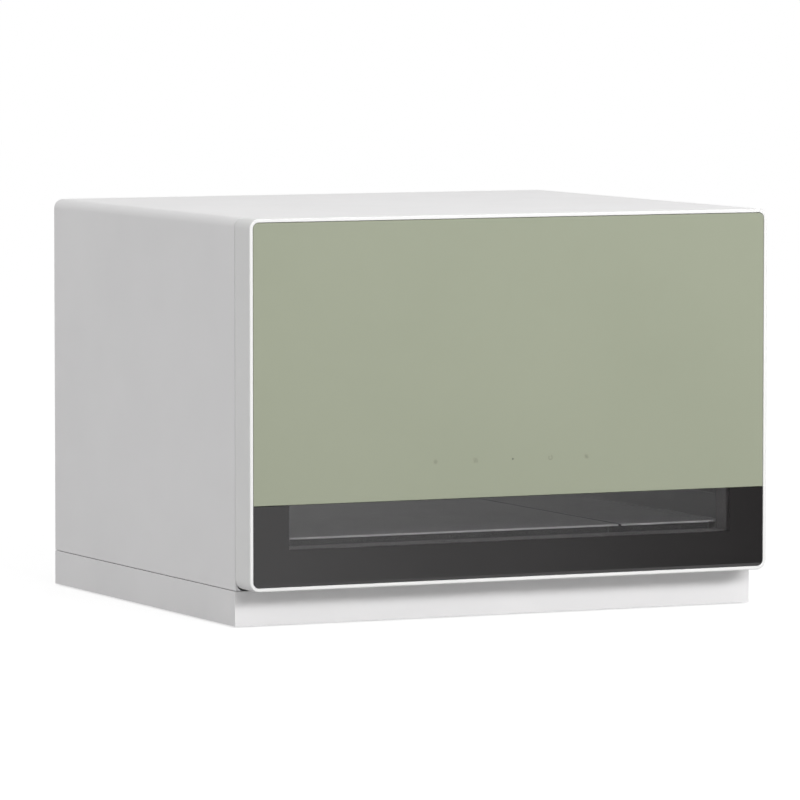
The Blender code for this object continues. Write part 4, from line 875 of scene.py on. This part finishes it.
# %% Seat for the seal
low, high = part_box("chamber_liner")
block_low, block_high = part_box("contact_block")
mouth = rounded(-0.187, 0.187, 0.037, 0.260, 0.003, steps=6)
window = rounded(block_low.x, block_high.x, block_low.z, block_high.z, 0.0004, steps=3)
# Painted shade: a thin black sheet over the chamber's mouth darkens the gap seen past the drawer front's corners.
seat = plate("dark_seat_painted_shade", rounded(low.x, high.x, low.z, high.z, 0.004), [mouth, window], low.y - 0.0002, low.y, 0.00004)
mount("dark_seat_painted_shade", seat, "black_plastic", "cabinet")

# %% [markdown]
# ## Touch legends
# Five small signs are printed on the panel: a lamp with rays, warm air, start, repeat and a
# muted bell. The print is faint, a tone darker than the panel, and almost flat. Each sign is a
# few strokes, and a stroke is a curve with a round section, pressed flat into the surface.

# %% Draw strokes


def arc(x, z, radius, start, end, steps=10):
    turns = [math.radians(start + (end - start) * i / steps) for i in range(steps + 1)]
    return [(x + radius * math.cos(a), z + radius * math.sin(a)) for a in turns]


def strokes_mesh(name, lines, width, lift, y):
    """Strokes in X and Z, as flat ribs on a face that looks along -Y."""
    curve = bpy.data.curves.new(name, "CURVE")
    curve.dimensions = "3D"
    curve.bevel_depth = width / 2
    curve.bevel_resolution = 1
    curve.use_fill_caps = True
    for line in lines:
        spline = curve.splines.new("POLY")
        spline.points.add(len(line) - 1)
        for point, (x, z) in zip(spline.points, line):
            point.co = (x, 0, z, 1)
    flatten = Matrix.Diagonal((1, 2 * lift / width, 1, 1))
    return curve_mesh(name, curve, Matrix.Translation((0, y, 0)) @ flatten)


print("strokes are ready")

# %% Five signs
sign_places = {"lamp": -0.0594, "air": -0.0286, "start": 0.0003, "repeat": 0.0294, "mute": 0.0575}
sign_z, sign_half, stroke, print_lift = 0.1123, 0.0017, 0.00028, 0.00003
rays = [[(0.68 * math.cos(a), 0.68 * math.sin(a)), (math.cos(a), math.sin(a))]
        for a in (i * math.pi / 4 for i in range(8))]
signs = {
    "lamp": [arc(0, 0, 0.42, 0, 360, 14), *rays],
    "air": [[(x + 0.2 * math.sin(i * math.pi / 5), -1 + i * 0.2) for i in range(11)] for x in (-0.7, 0, 0.7)],
    "start": [[(-0.42, -0.5 + i * 0.1), (0.5 - abs(i - 5) * 0.18, -0.5 + i * 0.1)] for i in range(1, 10)],
    "repeat": [arc(0, 0, 0.8, 130, 410, 16), [(0.15, 0.62), (0.52, 0.61), (0.62, 0.98)]],
    "mute": [[(-0.8, -0.5), (-0.55, -0.3), *arc(0, 0.05, 0.55, 180, 0), (0.55, -0.3), (0.8, -0.5), (-0.8, -0.5)],
             arc(0, -0.62, 0.22, 200, 340, 5), [(-0.95, 0.85), (0.95, -0.95)]],
}
make_finish("touch_print", moulded, {"Grain Size": 0.0002, "Cloud Size": 0.01},
            ((0.110, 0.118, 0.088), (0.140, 0.150, 0.112)), (0.60, 0.50), 0.000004, ())
lines = [[(sign_places[name] + u * sign_half, sign_z + w * sign_half) for u, w in line]
         for name, shapes in signs.items() for line in shapes]
mount("touch_signs", strokes_mesh("touch_signs", lines, stroke, print_lift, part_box("green_panel")[0].y),
      "touch_print", "drawer", slot="green_panel")

# %% [markdown]
# ## The two trays
# Two smooth trays lie side by side, with a seam between them. Each is a thin plate with two rows
# of drain slots near its back edge, a raised border on its outer side, and a rib below that drops
# into its drip tray. The front edge of the plates is the bright line low in the window, so it is
# a strip of its own, painted whiter and smoother than the trays as a painted highlight. A dark
# strip in the seam is painted shade for the shadow gap between the two trays.

# %% Left and right tray
plate_wall, plate_roll, rib_depth, rib_wall, rib_inset, border_width = 0.0013, 0.0003, 0.006, 0.0012, 0.0021, 0.0045
lip_depth, seam_strip = 0.0008, 0.0018
# Painted highlight: the front-edge strip is whiter and smoother than the trays, for the bright line at their front
# edge.
make_finish("tray_edge_painted_highlight", moulded, {"Grain Size": 0.0003, "Cloud Size": 0.02},
            ((0.86, 0.862, 0.865), (0.88, 0.882, 0.885)), (0.34, 0.24), 0.000006, ())
drain_length, drain_width, pitch_x, pitch_y, drain_margin, drain_setback = 0.032, 0.004, 0.042, 0.013, 0.018, 0.0092


def row_of(count, pitch):
    return [(i - (count - 1) / 2) * pitch for i in range(count)]


def dress_tray(word, outer_side):
    low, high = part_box(word + "_tray")
    basin_low, basin_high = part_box(word + "_drip_tray")
    plate_low = low.z + rib_depth
    plate_high = plate_low + plate_wall
    rib_low_x, rib_high_x = low.x + rib_inset, high.x - rib_inset
    rib_low_y, rib_high_y = basin_low.y + rib_inset, basin_high.y - rib_inset
    columns = int((rib_high_x - rib_low_x - 2 * drain_margin - drain_length) / pitch_x) + 1
    drains = [stadium((rib_low_x + rib_high_x) / 2 + x, rib_high_y - drain_setback - row * pitch_y,
                      drain_length, drain_width)
              for x in row_of(columns, pitch_x) for row in range(2)]
    body = plate(word, rounded(low.x, high.x, low.y + lip_depth, high.y, 0.0012, steps=4), drains, plate_low,
                 plate_high, plate_roll, upright=False)
    # Painted shade: a black strip fills the seam between the trays, to darken the shadow gap there.
    if outer_side > 0:
        strip = (low.x - seam_strip, low.x + plate_roll, plate_low + 0.0001, plate_high - 0.0002, 0.0002, 0.0002)
        mount("seam_painted_shade", slab(strip, low.y + plate_roll, high.y - plate_roll, 0.0002, 4), "black_plastic",
              word + "_tray", smooth=40)
    mount(word + "_tray_lip", slab((low.x, high.x, plate_low, plate_high, plate_roll, plate_roll), low.y,
                                   low.y + lip_depth, plate_roll, 4),
          "tray_edge_painted_highlight", word + "_tray", smooth=40, slot="tray_plastic")
    top_of_rib = plate_low + plate_roll
    section = [(0, low.z + plate_roll), (plate_roll, low.z), (rib_wall - plate_roll, low.z),
               (rib_wall, low.z + plate_roll), (rib_wall, top_of_rib), (0, top_of_rib)]
    ring = inset_loops((rib_low_x, rib_high_x, rib_low_y, rib_high_y, 0.003, 0.003), section, 6)
    x0 = low.x if outer_side < 0 else high.x - border_width
    border = [(0, top_of_rib), (0, high.z - 0.0004), (0.0004, high.z)]
    border = inset_loops((x0, x0 + border_width, low.y, high.y, 0.0012, 0.0012), border, 4)
    mount(word + "_tray_fine", join_meshes([body, laid_down(skin_loops(ring, closed=True)),
                                            laid_down(skin_loops(border))]),
          "tray_plastic", word + "_tray", [word + "_tray"], smooth=40)


dress_tray("left", -1)
dress_tray("right", 1)

# %% [markdown]
# ## Drip trays
# Each drip tray is one moulding with rounded corners and a rolled lip. Its wall is swept round the
# floor in one go: up the outside, over the lip, down the inside, and in to the floor.

# %% Left and right drip tray
basin_wall, basin_fillet, basin_lip = 0.0016, 0.0012, 0.0006
for word in ("left", "right"):
    low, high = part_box(word + "_drip_tray")
    section = [(0.0010, low.z), (0.0003, low.z + 0.0003), (0, low.z + 0.0010), (0, high.z - basin_lip),
               (basin_lip * 0.3, high.z - basin_lip * 0.3), (basin_lip, high.z), (basin_wall - basin_lip, high.z),
               (basin_wall - basin_lip * 0.3, high.z - basin_lip * 0.3), (basin_wall, high.z - basin_lip)]
    section += [(basin_wall + basin_fillet * (1 - math.cos(a)), low.z + basin_wall + basin_fillet * (1 - math.sin(a)))
                for a in (0, math.pi / 6, math.pi / 3, math.pi / 2)]
    mount(word + "_drip_tray_fine",
          laid_down(skin_loops(inset_loops((low.x, high.x, low.y, high.y, 0.004, 0.004), section, 8))),
          "drip_plastic", word + "_drip_tray", [word + "_drip_tray"], smooth=50)

# %% [markdown]
# ## The drawer's tub
# A steel tub with a rolled rim, pressed from one sheet. Its front wall is lower, so that the trays
# show over it: the points of that part of the rim take their own height. Its steel is satin.

# %% Tub
make_finish("satin_steel", brushed, {"Squeeze": (5.0, 500.0, 500.0), "Smear Size": 0.05},
            ((0.66, 0.66, 0.665), (0.72, 0.72, 0.725)), (0.40, 0.52), 0.000004, (worn_highlit_edge_overlay,), Metallic=1.0)
low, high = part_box("drawer_tub")
tub_wall, tub_corner, tub_fillet, front_rim, tub_steps = 0.0012, 0.0012, 0.0010, 0.0529, 5


def tub_loop(inset, rise, from_rim):
    """A loop at an inset, so far above the tub's foot, or so far below its rim."""
    x0, y0 = low.x + inset, low.y + inset
    line = rounded(x0, high.x - inset, y0, high.y - inset, max(tub_corner - inset, 0.00005), steps=tub_steps)
    dip = [(low.x + 0.0016, y0), (high.x - 0.0016, y0)]
    line = line[:tub_steps + 1] + dip + line[tub_steps + 1:]
    return [(x, y, low.z + rise if not from_rim else (front_rim if (x, y) in dip else high.z) - rise) for x, y in line]


rolled = 0.0004
section = [(rolled, 0, False), (0, rolled, False), (0, rolled, True), (rolled, 0, True), (tub_wall - rolled, 0, True),
           (tub_wall, rolled, True)]
section += [(tub_wall + tub_fillet * (1 - math.cos(a)), tub_wall + tub_fillet * (1 - math.sin(a)), False)
            for a in (0, math.pi / 6, math.pi / 3, math.pi / 2)]
mount("drawer_tub_fine", skin_loops([tub_loop(*row) for row in section]), "satin_steel", "drawer", ["drawer_tub"],
      smooth=40, slot="polished_steel")

# %% [markdown]
# The seal behind the drawer front is an extruded ring: a flat foot and a soft rounded lip.

# %% Seal
low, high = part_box("front_gasket")
foot, reach = low.y, high.y
section = [(0, foot), (0, foot + 0.0016), (0.0008, foot + 0.0021), (0.0006, foot + 0.0042), (0.0011, reach - 0.0009),
           (0.0021, reach), (0.0030, reach - 0.0006), (0.0029, foot + 0.0042), (0.0034, foot + 0.0023),
           (0.0050, foot + 0.0016), (0.0050, foot)]
ring = inset_loops((low.x, high.x, low.z, high.z, 0.005, 0.005), section, 8)
mount("front_gasket_fine", skin_loops(ring, closed=True), "grey_silicone", "drawer", ["front_gasket"], smooth=55)

# %% [markdown]
# ## The back
# The rear panel has a row of upright air slots, a square port for the filter and an opening for the
# power inlet. The filter's cover has long slots and a finger hole, and its sleeve holds the filter.

# %% Rear panel
low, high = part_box("rear_panel")
fan_z, vent_z, vent_pitch, vent_length, vent_width = 0.1485, 0.2471, 0.0062, 0.034, 0.0028
inlet_x, inlet_z, screw_x, screw_zs = 0.130, 0.0594, 0.1894, (0.0554, 0.2511)
vents = [stadium(x, vent_z, vent_length, vent_width, upright=True) for x in row_of(16, vent_pitch)]
port = rounded(-0.050, 0.050, fan_z - 0.050, fan_z + 0.050, 0.0008, steps=4)
socket = rounded(inlet_x - 0.01405, inlet_x + 0.01405, inlet_z - 0.0103, inlet_z + 0.0103, 0.0008, steps=4)
screws = [stadium(side * screw_x, z, 0.0036, 0.0036) for side in (-1, 1) for z in screw_zs]
outline = rounded(low.x, high.x, low.z, high.z, 0.0006, 0.0046, 8)
mount("rear_panel_fine", plate("rear_panel", outline, [*vents, port, socket, *screws], low.y, high.y, 0.0003),
      slot_of["rear_panel"], "cabinet", ["rear_panel"], smooth=40)

# %% Filter cover
low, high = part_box("filter_cover")
cover_wall, sleeve_side, sleeve_wall = 0.0020, 0.0497, 0.0015
slots = [stadium(0, 0.1043 + i * 0.008, 0.0884, 0.0030) for i in range(9)]
finger_hole = stadium(0, 0.1887, 0.032, 0.012)
cover = plate("cover", rounded(low.x, high.x, low.z, high.z, 0.003, steps=6), [*slots, finger_hole],
              high.y - cover_wall, high.y, 0.0005)
end = high.y - cover_wall / 2
section = [(0, low.y), (0, end), (sleeve_wall, end), (sleeve_wall, low.y)]
ring = inset_loops((-sleeve_side, sleeve_side, fan_z - sleeve_side, fan_z + sleeve_side, 0.001, 0.001), section, 4)
mount("filter_cover_fine", join_meshes([cover, skin_loops(ring, closed=True)]), slot_of["filter_cover"], "filter",
      ["filter_cover"], smooth=40)

# %% [markdown]
# The power inlet is one black moulding, swept in one go from its back, over the flange and into
# the recess. Three flat pins stand in it.

# %% Power inlet
low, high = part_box("power_inlet")
neck, bore, recess, lip = 0.0030, 0.0048, 0.0160, 0.0004
section = [(neck, low.y), (neck, high.y - 0.0018), (0, high.y - 0.0018), (0, high.y - lip), (lip, high.y),
           (bore - lip, high.y), (bore, high.y - lip), (bore, high.y - recess)]
mount("power_inlet_fine", skin_loops(inset_loops((low.x, high.x, low.z, high.z, 0.0028, 0.0028), section, 6)),
      slot_of["power_inlet"], "cabinet", ["power_inlet"], smooth=40)
floor_y = high.y - recess
pins = [slab((inlet_x + x - 0.001, inlet_x + x + 0.001, inlet_z + z - 0.002, inlet_z + z + 0.002, 0.0003, 0.0003),
             floor_y - 0.001, floor_y + 0.0105, 0.0003, 3) for x, z in ((-0.007, -0.002), (0, 0.002), (0.007, -0.002))]
mount("inlet_pins", join_meshes(pins), "zinc_steel", "cabinet", smooth=40)
